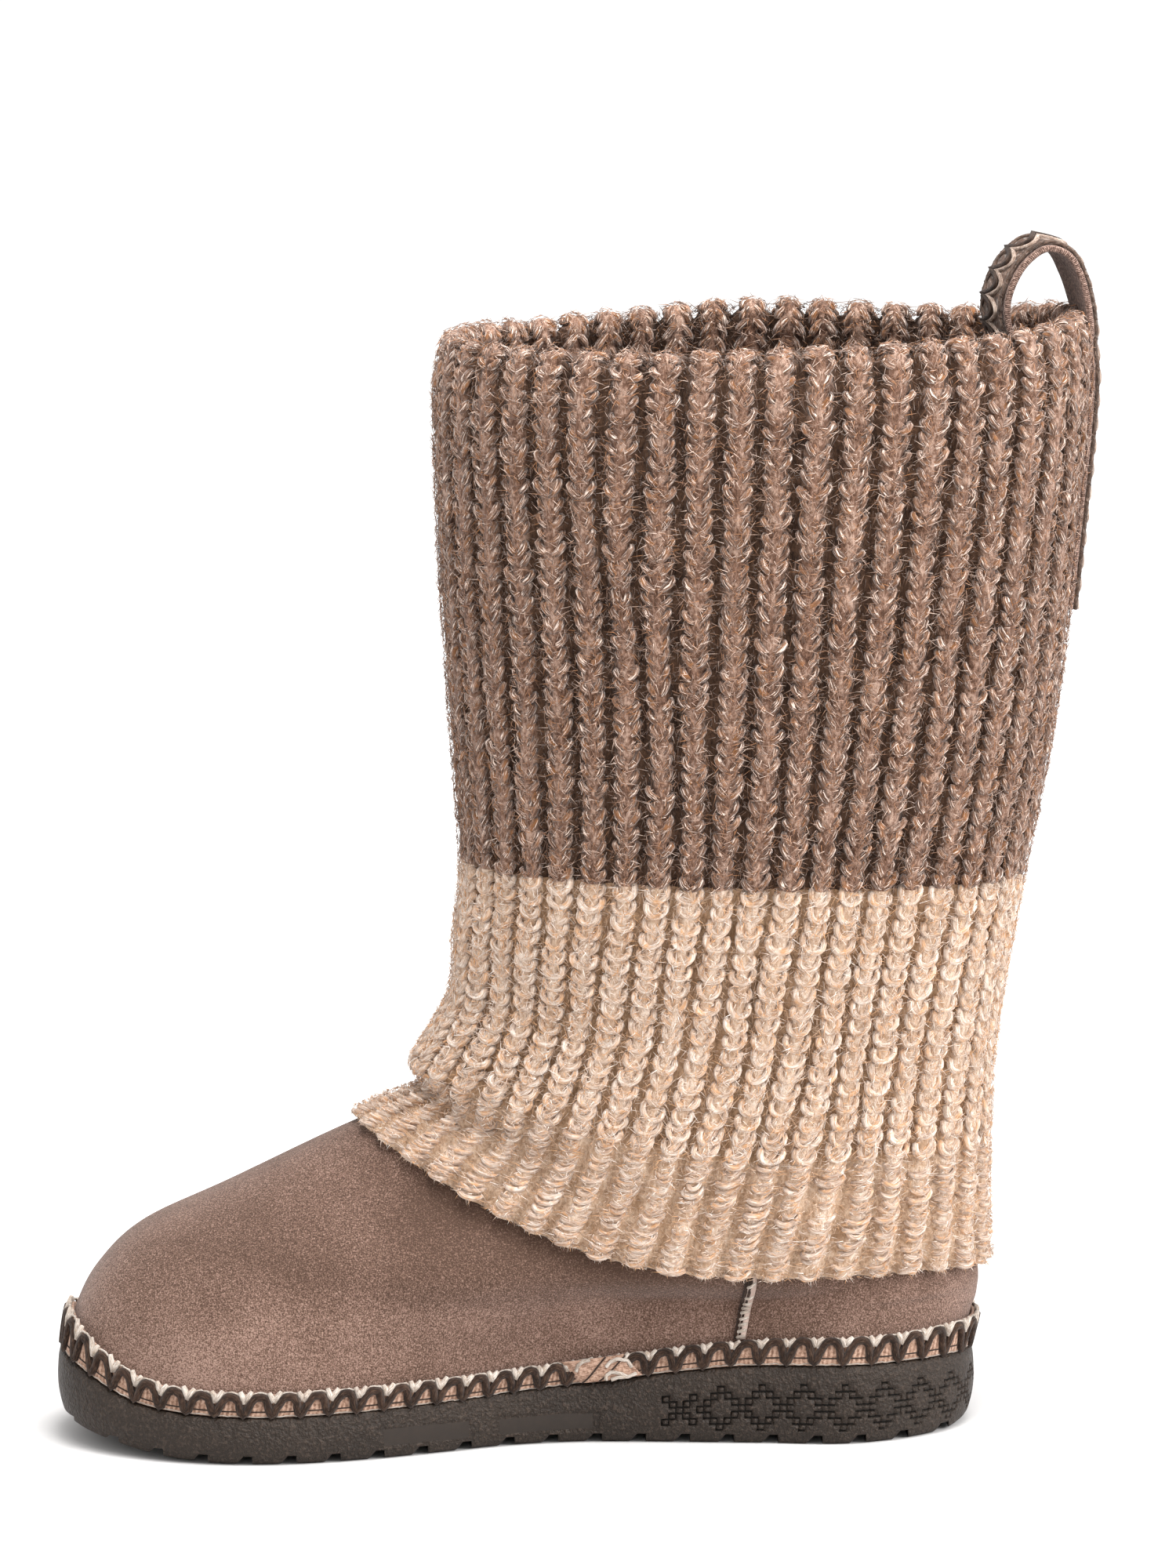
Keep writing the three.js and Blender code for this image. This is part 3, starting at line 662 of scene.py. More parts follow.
brownYarn = {
    "shades": ((0.4, (60, 39, 27)), (0.47, (90, 64, 49)), (0.53, (118, 88, 71)), (0.6, (172, 143, 125))),
    "hairs": ((64, 43, 31), (138, 106, 88), (212, 188, 172)),
    # painted shade: colour that hairs lying in the valleys are darkened towards
    "valley": (66, 46, 35),
    "fleck": (240, 220, 206),
    "flecked": 0.9,
    "tint": (150, 100, 60),
    "tinted": 0.85,
    "marl": 1.0,
    "streak": 2.6,
    "patchScale": 60,
    "relief": 0.7,
    "sheen": 0.3,
}
creamYarn = {
    "shades": ((0.4, (158, 129, 107)), (0.47, (187, 162, 142)), (0.53, (204, 184, 168)), (0.6, (232, 222, 212))),
    "hairs": ((156, 126, 102), (206, 184, 167), (238, 228, 219)),
    # painted shade: colour that hairs lying in the valleys are darkened towards
    "valley": (158, 126, 98),
    "fleck": (244, 236, 228),
    "flecked": 0.4,
    "tint": (204, 150, 98),
    "tinted": 0.7,
    "marl": 1.0,
    "streak": 2.6,
    "patchScale": 60,
    "relief": 0.5,
    "sheen": 0.3,
}
brownMaterial = yarnMaterial("brownYarn", brownYarn)
creamMaterial = yarnMaterial("creamYarn", creamYarn)
# painted shade: the hem's yarn is the cream yarn made darker, standing in for shade among its tightly packed stitches
hemShades = ((0.4, (138, 109, 88)), (0.47, (170, 144, 126)), (0.53, (191, 169, 152)), (0.6, (220, 208, 197)))
hemMaterial = yarnMaterial("hemYarn", dict(creamYarn, shades=hemShades, flecked=0.35))


# Cloth behind the stitches: fibre-grained, with painted shade that darkens it down in the valleys
def bedMaterial():
    recipe = Recipe("knitBed")
    place = recipe.add("ShaderNodeSeparateXYZ", {"Vector": recipe.place.outputs["UV"]})
    above = recipe.maths("GREATER_THAN", place.outputs["Y"], colourCourse / 10)
    crest = recipe.maths("MULTIPLY_ADD", recipe.maths("COSINE", recipe.maths("MULTIPLY", place.outputs["X"], tau * 10)))
    spot = recipe.place.outputs["Object"]
    grain = recipe.noise(recipe.scaled(spot, (1, 1, 0.6)), 900, 3, 0.7)
    marl = recipe.noise(spot, 160, 2, 0.5)
    tone = recipe.maths("ADD", recipe.maths("MULTIPLY", grain, 0.6), recipe.maths("MULTIPLY", marl, 0.4))
    brown = recipe.ramp(tone, (0.38, (74, 50, 37)), (0.5, (120, 90, 74)), (0.62, (176, 148, 131)))
    # painted shade: darker copies of the bed's colours for the valleys between ribs, less so in the hem
    brownValleyShade = recipe.ramp(tone, (0.38, (44, 29, 20)), (0.62, (92, 67, 51)))
    cream = recipe.ramp(tone, (0.38, (162, 132, 106)), (0.5, (190, 164, 142)), (0.62, (220, 202, 186)))
    creamValleyShade = recipe.ramp(tone, (0.38, (142, 110, 82)), (0.62, (190, 157, 126)))
    inHem = recipe.maths("LESS_THAN", place.outputs["Y"], knit["hemCourses"] / 10)
    depth = recipe.ramp(crest, (0.25, 0), (0.7, 1))
    depth = recipe.maths("MAXIMUM", depth, recipe.maths("MULTIPLY", inHem, 0.4))
    colour = recipe.blend(
        above, recipe.blend(depth, creamValleyShade, cream), recipe.blend(depth, brownValleyShade, brown)
    )
    return recipe.finish(colour, recipe.relief(grain, 0.9), Roughness=1.0, Specular_IOR_Level=0.1, Sheen_Weight=0.2)


cups = {
    "brown": {
        "steps": 9,
        "sides": 5,
        "turn": 108,
        "foot": 1.3,
        "round": 0.32,
        "slope": 0.5,
        "spread": 0.3,
        "skew": 0,
        "loose": 1.3,
        "pairs": 0.15,
        "radius": 1.2,
        "sunk": 0.95,
        "taper": 0.2,
        "dive": 1.3,
        "diveBow": 4,
    },
    "cream": {
        "steps": 11,
        "sides": 5,
        "turn": 118,
        "loose": 0.9,
        "pairs": 0.05,
        "foot": 0.2,
        "round": 0.56,
        "slope": 0.04,
        "spread": 0.315,
        "skew": 0,
        "radius": 1.15,
        "sunk": 1.0,
        "taper": 0.1,
        "dive": 1.2,
        "diveBow": 5,
    },
    "hem": {
        "steps": 8,
        "sides": 5,
        "turn": 90,
        "loose": 1.9,
        "pairs": 0,
        "foot": 0,
        "round": 0.5,
        "slope": 0.2,
        "spread": 0.27,
        "skew": 0.45,
        "radius": 0.88,
        "sunk": 0.7,
        "taper": 0.2,
        "dive": 2.2,
        "diveBow": 2.4,
    },
}

# Fuzz: fine closed spikes of fibre that lie on the stitches and cross the valleys
fuzz = {
    "short": 1.4,
    "long": 4.4,
    "radius": 0.14,
    "root": 0.4,  # off the cloth, where a hair leaves its yarn
    "lift": 0.55,
    "stand": 1.6,  # how far a tip may stand off the yarn
    "valley": 2.4,
    "fringe": 2200,
}


def fuzzMaterial(name, looks):
    recipe = Recipe(name)
    tone = recipe.noise(recipe.scaled(recipe.place.outputs["UV"], (0.9, 1, 1)), 1, 2)
    colour = recipe.ramp(tone, (0.36, looks["hairs"][0]), (0.5, looks["hairs"][1]), (0.62, looks["hairs"][2]))
    tints = recipe.noise(recipe.scaled(recipe.place.outputs["UV"], (1.3, 1, 1)), 2.3, 1)
    colour = recipe.blend(recipe.ramp(tints, (0.5, 0), (0.58, 0.9)), colour, looks["tint"])
    # painted shade: hairs that lie down in the valleys between ribs are darkened towards the valley colour
    deep = recipe.add("ShaderNodeSeparateXYZ", {"Vector": recipe.place.outputs["UV"]}).outputs["Y"]
    colour = recipe.blend(recipe.ramp(deep, (0.45, 0), (0.95, 0.75)), colour, looks["valley"])
    return recipe.finish(colour, Roughness=1.0, Specular_IOR_Level=0.1, Sheen_Weight=0.2)


def spikes(roots, tips, radius, deep):
    count = len(roots)
    along = unit(tips - roots)
    across = unit(np.cross(along, chance.normal(0, 1, (count, 3))))
    up = np.cross(along, across)
    points = np.empty((count, 4, 3))
    for i in range(3):
        turn = i * tau / 3
        points[:, i] = roots + (math.cos(turn) * across + math.sin(turn) * up) * radius
    points[:, 3] = tips
    faces = np.array([(0, 1, 3), (1, 2, 3), (2, 0, 3), (2, 1, 0)])
    faces = (faces[None] + 4 * np.arange(count)[:, None, None]).reshape(-1, 3)
    uv = np.zeros((count, 4, 3, 2))
    uv[..., 0] = chance.uniform(0, 90, count)[:, None, None]
    uv[..., 1] = deep[:, None, None]
    return points.reshape(-1, 3), faces.tolist(), uv.reshape(-1, 2)


def knitFuzz(firstCourse, lastCourse, count):
    rib = chance.uniform(0, knit["ribs"], count)
    course = chance.uniform(firstCourse, lastCourse, count)
    phase = np.abs(rib - np.round(rib)) * 2
    start = fuzz["root"] - fuzz["valley"] * phase**4
    length = chance.uniform(fuzz["short"], fuzz["long"], count)
    way = chance.uniform(0, tau, count)
    lean = chance.uniform(0, 1, count) ** 2.5
    end = fuzz["lift"] - fuzz["valley"] * phase**4 * 0.6 + fuzz["stand"] * lean
    roots = onCloth(rib, course, start)[0]
    tipCourse = np.clip(course + length * np.sin(way) / knit["creamCourse"], 0.1, lastCourse)
    tips = onCloth(rib + length * np.cos(way) / 10.5, tipCourse, end)[0]
    return spikes(roots, tips, fuzz["radius"], phase)


# Short hairs that stand off the hem's edge
def hemFringe(count):
    rib = chance.uniform(0, knit["ribs"], count)
    crest = 0.5 + 0.5 * np.cos(tau * rib)
    roots, normals = onCloth(rib, chance.uniform(0, 0.9, count) + 0.5 * (1 - crest), -0.6 - 2 * (1 - crest))
    drop = stack(0, 0, -chance.uniform(0.3, 1.4, count))
    tips = roots + normals * chance.uniform(0.2, 1.4, count)[:, None] + drop + chance.normal(0, 0.7, (count, 3))
    return spikes(roots, tips, fuzz["radius"], 1 - crest)


def makeKnit():
    bed = knitBed()
    addPiece("knitSleeve", bed[0], bed[1], bedMaterial(), "knit", ["knit_shaft"], bed[2])
    hem = knitCups(cups["hem"], 0.35, knit["hemCourses"] + 2)
    cream = knitCups(cups["cream"], knit["hemCourses"] + 0.1, creamCourses)
    addPiece("hemStitches", hem[0], hem[1], hemMaterial, "knit", uv=hem[2])
    addPiece("creamStitches", cream[0], cream[1], creamMaterial, "knit", uv=cream[2])
    half = brownCourses // 2
    lower = knitCups(cups["brown"], colourCourse, half)
    upper = knitCups(cups["brown"], colourCourse + half, brownCourses - half - 1)
    addPiece("lowerBrownStitches", lower[0], lower[1], brownMaterial, "knit", uv=lower[2])
    addPiece("upperBrownStitches", upper[0], upper[1], brownMaterial, "knit", uv=upper[2])
    brownHair = fuzzMaterial("brownFuzz", brownYarn)
    creamHair = fuzzMaterial("creamFuzz", creamYarn)
    hairs = {
        "hemFuzz": (0.2, knit["hemCourses"], 10000, creamHair),
        "creamFuzz": (knit["hemCourses"], colourCourse, 24000, creamHair),
        "lowerBrownFuzz": (colourCourse, colourCourse + half, 29500, brownHair),
        "upperBrownFuzz": (colourCourse + half, lastCourse - 0.5, 29500, brownHair),
    }
    for name, (low, high, count, material) in hairs.items():
        hair = knitFuzz(low, high, count)
        if name == "hemFuzz":
            hair = joined(hair, hemFringe(fuzz["fringe"]))
        addPiece(name, hair[0], hair[1], material, "knit", uv=hair[2])
    print("knit made")


makeKnit()


# Suede foot with its fleece backing
suede = {"rows": 48, "columns": 280, "shownLevel": 5.3}


def suedeMaterial():
    recipe = Recipe("suede")
    spot = recipe.place.outputs["Object"]
    nap = recipe.noise(spot, 2300, 2, 0.6)
    brushed = recipe.noise(spot, 1100, 2, 0.6)
    mottle = recipe.noise(spot, 22, 2, 0.5)
    tone = recipe.maths("ADD", recipe.maths("MULTIPLY", mottle, 0.24), recipe.maths("MULTIPLY", brushed, 0.16))
    tone = recipe.maths("ADD", tone, recipe.maths("MULTIPLY", nap, 0.6))
    place = recipe.add("ShaderNodeSeparateXYZ", {"Vector": spot}).outputs
    # painted shade: the suede is made darker in a band at mid height over the middle of the foot
    shadedBand = recipe.ramp(recipe.maths("MULTIPLY", place["Z"], 10), (0.42, 0), (0.56, 1), (0.78, 1), (1, 0.3))
    rear = recipe.ramp(recipe.maths("MULTIPLY", place["X"], -5), (0, 0.3), (0.3, 1), (0.6, 1), (0.95, 0))
    dip = recipe.maths("MULTIPLY", recipe.maths("MULTIPLY", shadedBand, rear), 0.095)
    tone = recipe.maths("SUBTRACT", tone, dip)
    colour = recipe.ramp(tone, (0.4, (72, 54, 44)), (0.5, (106, 83, 72)), (0.6, (147, 121, 109)))
    normal = recipe.relief(nap, 0.6, 0.8)
    return recipe.finish(
        colour, normal, Roughness=0.95, Sheen_Weight=0.16, Sheen_Roughness=0.4, Specular_IOR_Level=0.15
    )


def fleeceMaterial():
    recipe = Recipe("fleece")
    spot = recipe.place.outputs["Object"]
    curls = recipe.add("ShaderNodeTexVoronoi", {"Vector": spot, "Scale": 420}).outputs["Distance"]
    tone = recipe.noise(spot, 60, 3)
    colour = recipe.ramp(tone, (0.35, (172, 152, 134)), (0.65, (204, 186, 168)))
    return recipe.finish(colour, recipe.relief(curls, 1.2), Roughness=1.0, Sheen_Weight=0.3)


def makeUpper():
    angle = np.arange(suede["columns"]) * tau / suede["columns"]
    shown = np.linspace(0, suede["shownLevel"], suede["rows"])
    hidden = np.arange(5.6, 8.7, 0.3)
    levels = np.concatenate([shown, hidden])
    outer = footPoint(angle[None, :], levels[:, None])
    innerLevels = np.array([8.6, 8, 7, 6, 5, 4, 3, 2, 1, 0.5])
    inner = offsetPoint(footPoint, angle[None, :], innerLevels[:, None], -foot["wall"])
    base = outlinePoint(angle, baseInset + foot["wall"], baseHeight)[None]
    points = np.concatenate([outer, inner, base])
    quads, corners = gridFaces(len(points), len(angle), ringed=True)
    piece = addPiece("suedeFoot", points.reshape(-1, 3), quads.tolist(), suedeMaterial(), "suede", ["upper"])
    piece.data.materials.append(fleeceMaterial())
    firstInner = len(levels)
    lining = ((corners[:, 0, 1] >= firstInner - 1) & (corners[:, 0, 1] < len(points) - 1)).astype(np.int32)
    piece.data.polygons.foreach_set("material_index", lining)
    print("suede foot made")


makeUpper()


def makeInsole():
    angle = np.arange(200) * tau / 200
    inset = baseInset + foot["wall"] + 4

    def low(share):
        return soleDeck(share) + foot["seam"]

    def high(share):
        return low(share) + 4.5

    rings = [outlinePoint(angle, inset + 0.6, low), outlinePoint(angle, inset, lambda share: low(share) + 0.8)]
    rings += [outlinePoint(angle, inset, lambda share: high(share) - 1.2), outlinePoint(angle, inset + 1.2, high)]
    for share in (0.25, 0.5, 0.75, 0.95):
        ring = outlinePoint(angle, inset + 1.2, high)
        middle = ring.copy()
        middle[:, 1] = foot["ballWidth"] * read(outline, "centre", oval(angle, foot["bluntness"])[0])
        rings.append(mix(ring, middle, share))
    points = np.array(rings)
    quads, _ = gridFaces(len(points), len(angle))
    faces = quads.tolist()
    top = (len(rings) - 1) * len(angle)
    for i in range(1, 99):
        faces.append([top + i, top + i + 1, top + 199 - i, top + 200 - i])
        faces.append([i + 1, i, 200 - i, 199 - i])
    faces += [[top, top + 1, top + 199], [top + 99, top + 100, top + 101], [1, 0, 199], [100, 99, 101]]
    addPiece("fleeceInsole", points.reshape(-1, 3), faces, bpy.data.materials["fleece"], "fleece", ["insole"])


makeInsole()

# Sole, with stepped figures engraved round its heel and grooves across its tread
tread = {
    "grooveDepth": 3.0,
    "grooveMouth": 5.0,
    "grooveRoof": 2.6,
    "groovePitch": 13.3,
    "firstGroove": 10.7,
}
figures = {
    "firstAt": -45.3,  # along the boot, to the middle of the first figure
    "cell": 2.05,
    "middle": 11.7,  # height
    "line": 0.28,  # half width of an engraved line
    "lip": 0.42,
    "depth": 1.0,
    "rows": 3,  # cells above and below the middle
}
bare = {"places": ((-137, -108), (-103, -69)), "low": 3.4, "high": 10.4, "depth": 0.35, "edge": 0.8}


# Length round the sole's edge from the back of the heel, and the angle at a length
soleAngles = np.linspace(0, math.pi, 2881)
soleEdge = outlinePoint(soleAngles, 0, soleTop)
soleLengths = np.concatenate([[0], np.cumsum(np.linalg.norm(np.diff(soleEdge[:, :2], axis=0), axis=1))])
firstFigure = float(np.interp(-figures["firstAt"], -soleEdge[:, 0], soleLengths))
figureSteps = round(2 * firstFigure / (6 * figures["cell"]))
cellWidth = 2 * firstFigure / (6 * figureSteps)


# Cells that are outlined: a cross at each end of the row, diamonds between them
def figureCells():
    cells = set()
    reach = figures["rows"]
    for step in range(figureSteps + 1):
        middle = 6 * step
        for column in range(-reach, reach + 1):
            for row in range(-reach, reach + 1):
                crossed = step in (0, figureSteps)
                inCross = abs(column) == abs(row) and abs(row) < reach
                inDiamond = abs(column) + abs(row) == reach
                if (inCross if crossed else inDiamond):
                    cells.add((middle + column, row))
    return cells


# How deep the sole's side is engraved; across and up count cells from the first figure's middle
def engraving(across, up):
    cells = figureCells()
    half = figures["line"] / figures["cell"] + 0.01
    deep = np.zeros(across.shape, bool)
    for column, row in cells:
        x = np.abs(across - column)
        y = np.abs(up - row)
        near = (x < 0.5 + half) & (y < 0.5 + half)
        deep |= near & ((x > 0.5 - half) | (y > 0.5 - half))
    return deep * figures["depth"]


def makeSole():
    # lengths round the sole, close together where something is engraved or sunk
    offsets = np.array([-figures["lip"], -figures["line"], figures["line"], figures["lip"]])
    edges = (np.arange(-3, 6 * figureSteps // 2 + 1) + 0.5) * cellWidth
    fine = (edges[:, None] + offsets).ravel()
    lengths = firstFigure - fine
    lengths = lengths[lengths > 0.05]
    far = firstFigure + 3.4 * cellWidth
    lengths = np.concatenate([lengths, np.arange(far, soleLengths[-1] - 1, 2.4)])
    for place in bare["places"]:
        for x in place:
            at = np.interp(-x, -soleEdge[:, 0], soleLengths)
            lengths = np.concatenate([lengths, at + np.array([-0.5, 0.5]) * bare["edge"]])
    lengths = np.sort(lengths)
    lengths = lengths[np.concatenate([[True], np.diff(lengths) > 0.12])]
    half = np.interp(lengths, soleLengths, soleAngles)
    angle = np.concatenate([[0], half, [math.pi], -half[::-1]])
    around = np.concatenate([[0], lengths, [soleLengths[-1]], lengths[::-1]])
    count = len(angle)

    rowEdges = (np.arange(-figures["rows"], figures["rows"] + 2) - 0.5) * figures["cell"] + figures["middle"]
    rows = (rowEdges[:, None] + offsets).ravel() / sole["lift"]
    rises = np.concatenate([[0, 0.015, 0.05, 0.1, 0.15], rows, [0.84, 0.9, 0.95, 0.98, 1.0]])
    rises = np.unique(np.round(rises, 5))
    rounding = np.interp(rises, [0, 0.015, 0.05], [0.7, 0.2, 0])
    rounding = rounding + np.interp(rises, [0.95, 0.98, 1.0], [0, 0.15, 0.6])

    angles, heights = np.meshgrid(angle, rises)
    share = oval(angles, foot["bluntness"])[0]
    inset = sole["undercut"] * read(wall, "inset", heights, "rise") + rounding[:, None]
    z = mix(soleBottom(share), soleTop(share), heights)
    # every figure is counted from the inner side, where the first one stands
    signed = np.where(angles[:1] > 0, 1, -1) * around[None]
    across = (signed + firstFigure) / cellWidth
    up = (heights * sole["lift"] - figures["middle"]) / figures["cell"]
    engraved = engraving(np.broadcast_to(across, up.shape), up)
    inset = inset + engraved
    edgeX = outlinePoint(angles, 0, soleTop)[..., 0]
    smooth = np.zeros(angles.shape, bool)
    for low, high in bare["places"]:
        soft = bare["edge"]
        sunk = smoothStep(low, low + soft, edgeX) * smoothStep(-high, -high + soft, -edgeX)
        sunk = sunk * smoothStep(bare["low"], bare["low"] + soft, z) * smoothStep(-bare["high"], -bare["high"] + soft, -z)
        inset = inset + bare["depth"] * sunk
        smooth |= sunk > 0.9
    centre = foot["ballWidth"] * read(outline, "centre", share)
    x = foot["heelSetback"] - inset - (foot["length"] - 2 * inset) * share
    y = centre + (foot["ballWidth"] * read(outline, "fullness", share) - inset) * oval(angles, foot["bluntness"])[1]
    sideRings = stack(x, y, z)
    rimWidth = baseInset + foot["wall"] + sole["deckMargin"]
    inner = [outlinePoint(angle, rimWidth, soleTop), outlinePoint(angle, rimWidth + sole["deckMargin"], soleDeck)]
    points = np.concatenate([sideRings, np.array(inner)])
    faces = gridFaces(len(points), count)[0].tolist()
    top = (len(points) - 1) * count
    middle = count // 2
    for i in range(1, middle - 1):
        faces.append([top + i, top + i + 1, top + count - i - 1, top + count - i])
        faces.append([i + 1, i, count - i, count - i - 1])
    faces += [[top, top + 1, top + count - 1], [top + middle - 1, top + middle, top + middle + 1]]
    faces += [[1, 0, count - 1], [middle, middle - 1, middle + 1]]
    piece = addPiece("wedgeSole", points.reshape(-1, 3), faces, soleMaterial(), "sole", ["outsole"])
    # painted shade: the engraved lines are coloured darker than the rest of the sole
    piece.data.materials.append(soleFinish("engravedLines", (16, 12, 9), 0.9))
    piece.data.materials.append(soleFinish("smoothPanels", (35, 27, 21), 0.3))
    finishes = np.zeros(len(faces), np.int32)
    marks = np.where(engraved > 0, 1, np.where(smooth, 2, 0)).ravel()
    sides = np.array(faces[: (len(rises) - 1) * count])
    corners = marks[sides]
    finishes[: len(sides)] = np.where((corners == corners[:, :1]).all(axis=1), corners[:, 0], 0)
    piece.data.polygons.foreach_set("material_index", finishes)
    cutGrooves(piece)
    print("sole made:", len(piece.data.polygons), "faces,", len(figureCells()), "figure cells")


def cutGrooves(piece):
    points = []
    faces = []
    below = 2
    reach = foot["ballWidth"]
    for place in np.arange(tread["firstGroove"], foot["length"], tread["groovePitch"]):
        floorAt = soleBottom(np.array(place / foot["length"]))
        flare = (tread["grooveMouth"] - tread["grooveRoof"]) * (1 + below / tread["grooveDepth"])
        halfRoof = tread["grooveRoof"] / 2
        section = [(-halfRoof - flare, -below), (halfRoof + 0.3, -below)]
        section += [(halfRoof, tread["grooveDepth"]), (-halfRoof, tread["grooveDepth"])]
        start = len(points)
        for y in (-reach, reach):
            points += [(foot["heelSetback"] - place + across, y, floorAt + up) for across, up in section]
        for i in range(4):
            j = (i + 1) % 4
            faces.append([start + 4 + i, start + 4 + j, start + j, start + i])
        faces += [[start, start + 1, start + 2, start + 3], [start + 7, start + 6, start + 5, start + 4]]
    mesh = bpy.data.meshes.new("grooveBars")
    mesh.from_pydata((np.array(points) * millimetre).tolist(), [], faces)
    bars = bpy.data.objects.new("grooveBars", mesh)
    bpy.context.scene.collection.objects.link(bars)
    cut = piece.modifiers.new("grooves", "BOOLEAN")
    cut.operation = "DIFFERENCE"
    cut.object = bars
    cut.solver = "EXACT"
    shaped = bpy.data.meshes.new_from_object(piece.evaluated_get(bpy.context.evaluated_depsgraph_get()))
    piece.modifiers.clear()
    piece.data = shaped
    bpy.data.objects.remove(bars)


def soleMaterial():
    recipe = Recipe("foamedSole")
    spot = recipe.place.outputs["Object"]
    pebbles = recipe.noise(spot, 1000, 2, 0.6)
    coarse = recipe.noise(spot, 480, 2, 0.5)
    tone = recipe.noise(spot, 40, 3)
    colour = recipe.ramp(tone, (0.3, (34, 26, 20)), (0.7, (42, 33, 26)))
    colour = recipe.blend(recipe.ramp(pebbles, (0.5, 0), (0.7, 0.6)), colour, (74, 61, 52))
    height = recipe.maths("ADD", pebbles, recipe.maths("MULTIPLY", coarse, 0.8))
    return recipe.finish(colour, recipe.relief(height, 1.0, 1.0), Roughness=0.5, Specular_IOR_Level=0.25)


# Inside the engraved lines, where the darker colour is painted shade, and on the smooth panels
def soleFinish(name, colour, roughness):
    recipe = Recipe(name)
    grain = recipe.noise(recipe.place.outputs["Object"], 500, 2)
    tone = recipe.ramp(grain, (0.3, colour), (0.7, tuple(round(value * 1.15) for value in colour)))
    return recipe.finish(tone, recipe.relief(grain, 0.15, 0.5), Roughness=roughness, Specular_IOR_Level=0.35)


makeSole()

# Woven braid round the foot: brown arches over a ribbed tan ribbon, cream yarn between them
braidLooks = {
    "motif": 8.45,
    "ribbon": 1.25,  # thickness of the ribbon under the yarns
    "low": 0.86,  # the woven part's share of the band's height, and what the toe adds
    "toeRise": 0.34,
    "arch": ((-0.5, 0.1), (-0.42, 0.12), (-0.385, 0.36), (-0.31, 0.62), (-0.17, 0.79), (0, 0.83)),
    "archYarn": 1.28,
    "tuft": ((-0.5, 0.7), (-0.4, 0.78), (-0.3, 0.88), (-0.16, 0.94), (0, 0.95)),
    "tuftYarn": 0.36,
    "notch": ((-0.2, 0.98), (-0.08, 0.8), (0, 0.62)),  # cream between two arches: across and up
    "notchYarn": 0.95,
    "stitchLine": 0.27,
}
lap = {"length": 19, "slant": 6, "thickness": 1, "place": 128, "gap": 0.9}


def braidTop(angle):
    height = braid["height"] * (braidLooks["low"] + braidLooks["toeRise"] * bump(angle % tau, math.pi, 0.4))
    top = footPoint(angle, 0.0)[:, 2] + height * read(side, "braid", oval(angle, foot["bluntness"])[0])
    levels = np.linspace(0, 3, 61)
    heights = footPoint(angle[None, :], levels[:, None])[..., 2]
    return np.array([np.interp(top[i], heights[:, i], levels) for i in range(len(angle))])


# The band's inner face as a grid: rows up it, columns evenly round the foot
def layBand():
    angle = np.linspace(0, tau, 721)
    base = outlinePoint(angle, baseInset, baseHeight)
    lengths = np.concatenate([[0], np.cumsum(np.linalg.norm(np.diff(base, axis=0), axis=1))])
    motifs = round(lengths[-1] / braidLooks["motif"])
    even = np.interp(np.linspace(0, lengths[-1], motifs * 16, endpoint=False), lengths, angle)
    top = braidTop(even)
    shares = np.linspace(0, 1, 11)
    rows = [outlinePoint(even, baseInset - braid["gap"], baseHeight)]
    rows += [offsetPoint(footPoint, even, top * share, braid["gap"]) for share in shares[1:]]
    rows = np.array(rows)
    around = np.roll(rows, -1, axis=1) - np.roll(rows, 1, axis=1)
    normals = unit(np.cross(around, np.gradient(rows, axis=0)))
    return rows, normals, motifs


bandPoints, bandNormals, bandMotifs = layBand()


# A place on the band: motif counts motifs from the heel, up is 0 to 1, out is millimetres off its inner face
def onBand(motif, up, out):
    motif, up, out = np.broadcast_arrays(motif, up, out)
    u = motif * 16
    v = np.clip(up, 0, 0.9999) * (len(bandPoints) - 1)
    i = np.floor(v).astype(int)
    j = np.floor(u).astype(int)
    s = (u - j)[..., None]
    t = (v - i)[..., None]
    left = j % bandPoints.shape[1]
    right = (j + 1) % bandPoints.shape[1]
    place = []
    for grid in (bandPoints, bandNormals):
        low = mix(grid[i, left], grid[i, right], s)
        place.append(mix(low, mix(grid[i + 1, left], grid[i + 1, right], s), t))
    over = np.maximum(up - 1, 0)[..., None] * braid["height"] * np.array([0, 0, 1.0])
    normals = unit(place[1])
    return place[0] + normals * out[..., None] + over, normals


# A yarn that repeats a half wave, mirrored, over every motif
def waveYarn(half, motifs, surface, lift, radius, sides, per=14, crown=0.0):
    half = np.array(half)
    whole = np.concatenate([half, half[-2::-1] * np.array([-1, 1])])
    t = np.linspace(-0.5, 0.5, per + 1)
    up = np.interp(t, whole[:, 0], whole[:, 1])
    up = (np.roll(up, 1) + 2 * up + np.roll(up, -1)) / 4 if per > 4 else up
    motif = (np.arange(motifs)[:, None] + 0.5 + t[None, :-1]).ravel()
    ups = np.tile(up[:-1], motifs)
    outs = lift + crown * np.cos(t[:-1] * math.pi)
    jig = chance.normal(0, 0.012, len(motif))
    path, normals = surface(motif + jig, ups + chance.normal(0, 0.008, len(motif)), np.tile(outs, motifs))
    return ringYarn(path, radius, normals, sides)


# One endless yarn through a ring of points
def ringYarn(path, radius, out, sides):
    along = unit(np.roll(path, -1, axis=0) - np.roll(path, 1, axis=0))
    across = unit(np.cross(along, out))
    up = np.cross(across, along)
    turn = np.arange(sides) * tau / sides
    ring = np.cos(turn)[:, None] * -up[:, None] + np.sin(turn)[:, None] * across[:, None]
    points = (path[:, None] + radius * ring).reshape(-1, 3)
    quads, corners = gridFaces(len(path), sides, ringed=True)
    steps = np.linalg.norm(np.diff(path, axis=0, append=path[:1]), axis=1)
    length = np.concatenate([[0], np.cumsum(steps)])
    uv = np.stack([length[corners[..., 1]] / 10, corners[..., 0] / sides], axis=-1)
    return points, quads.tolist(), uv.reshape(-1, 2)


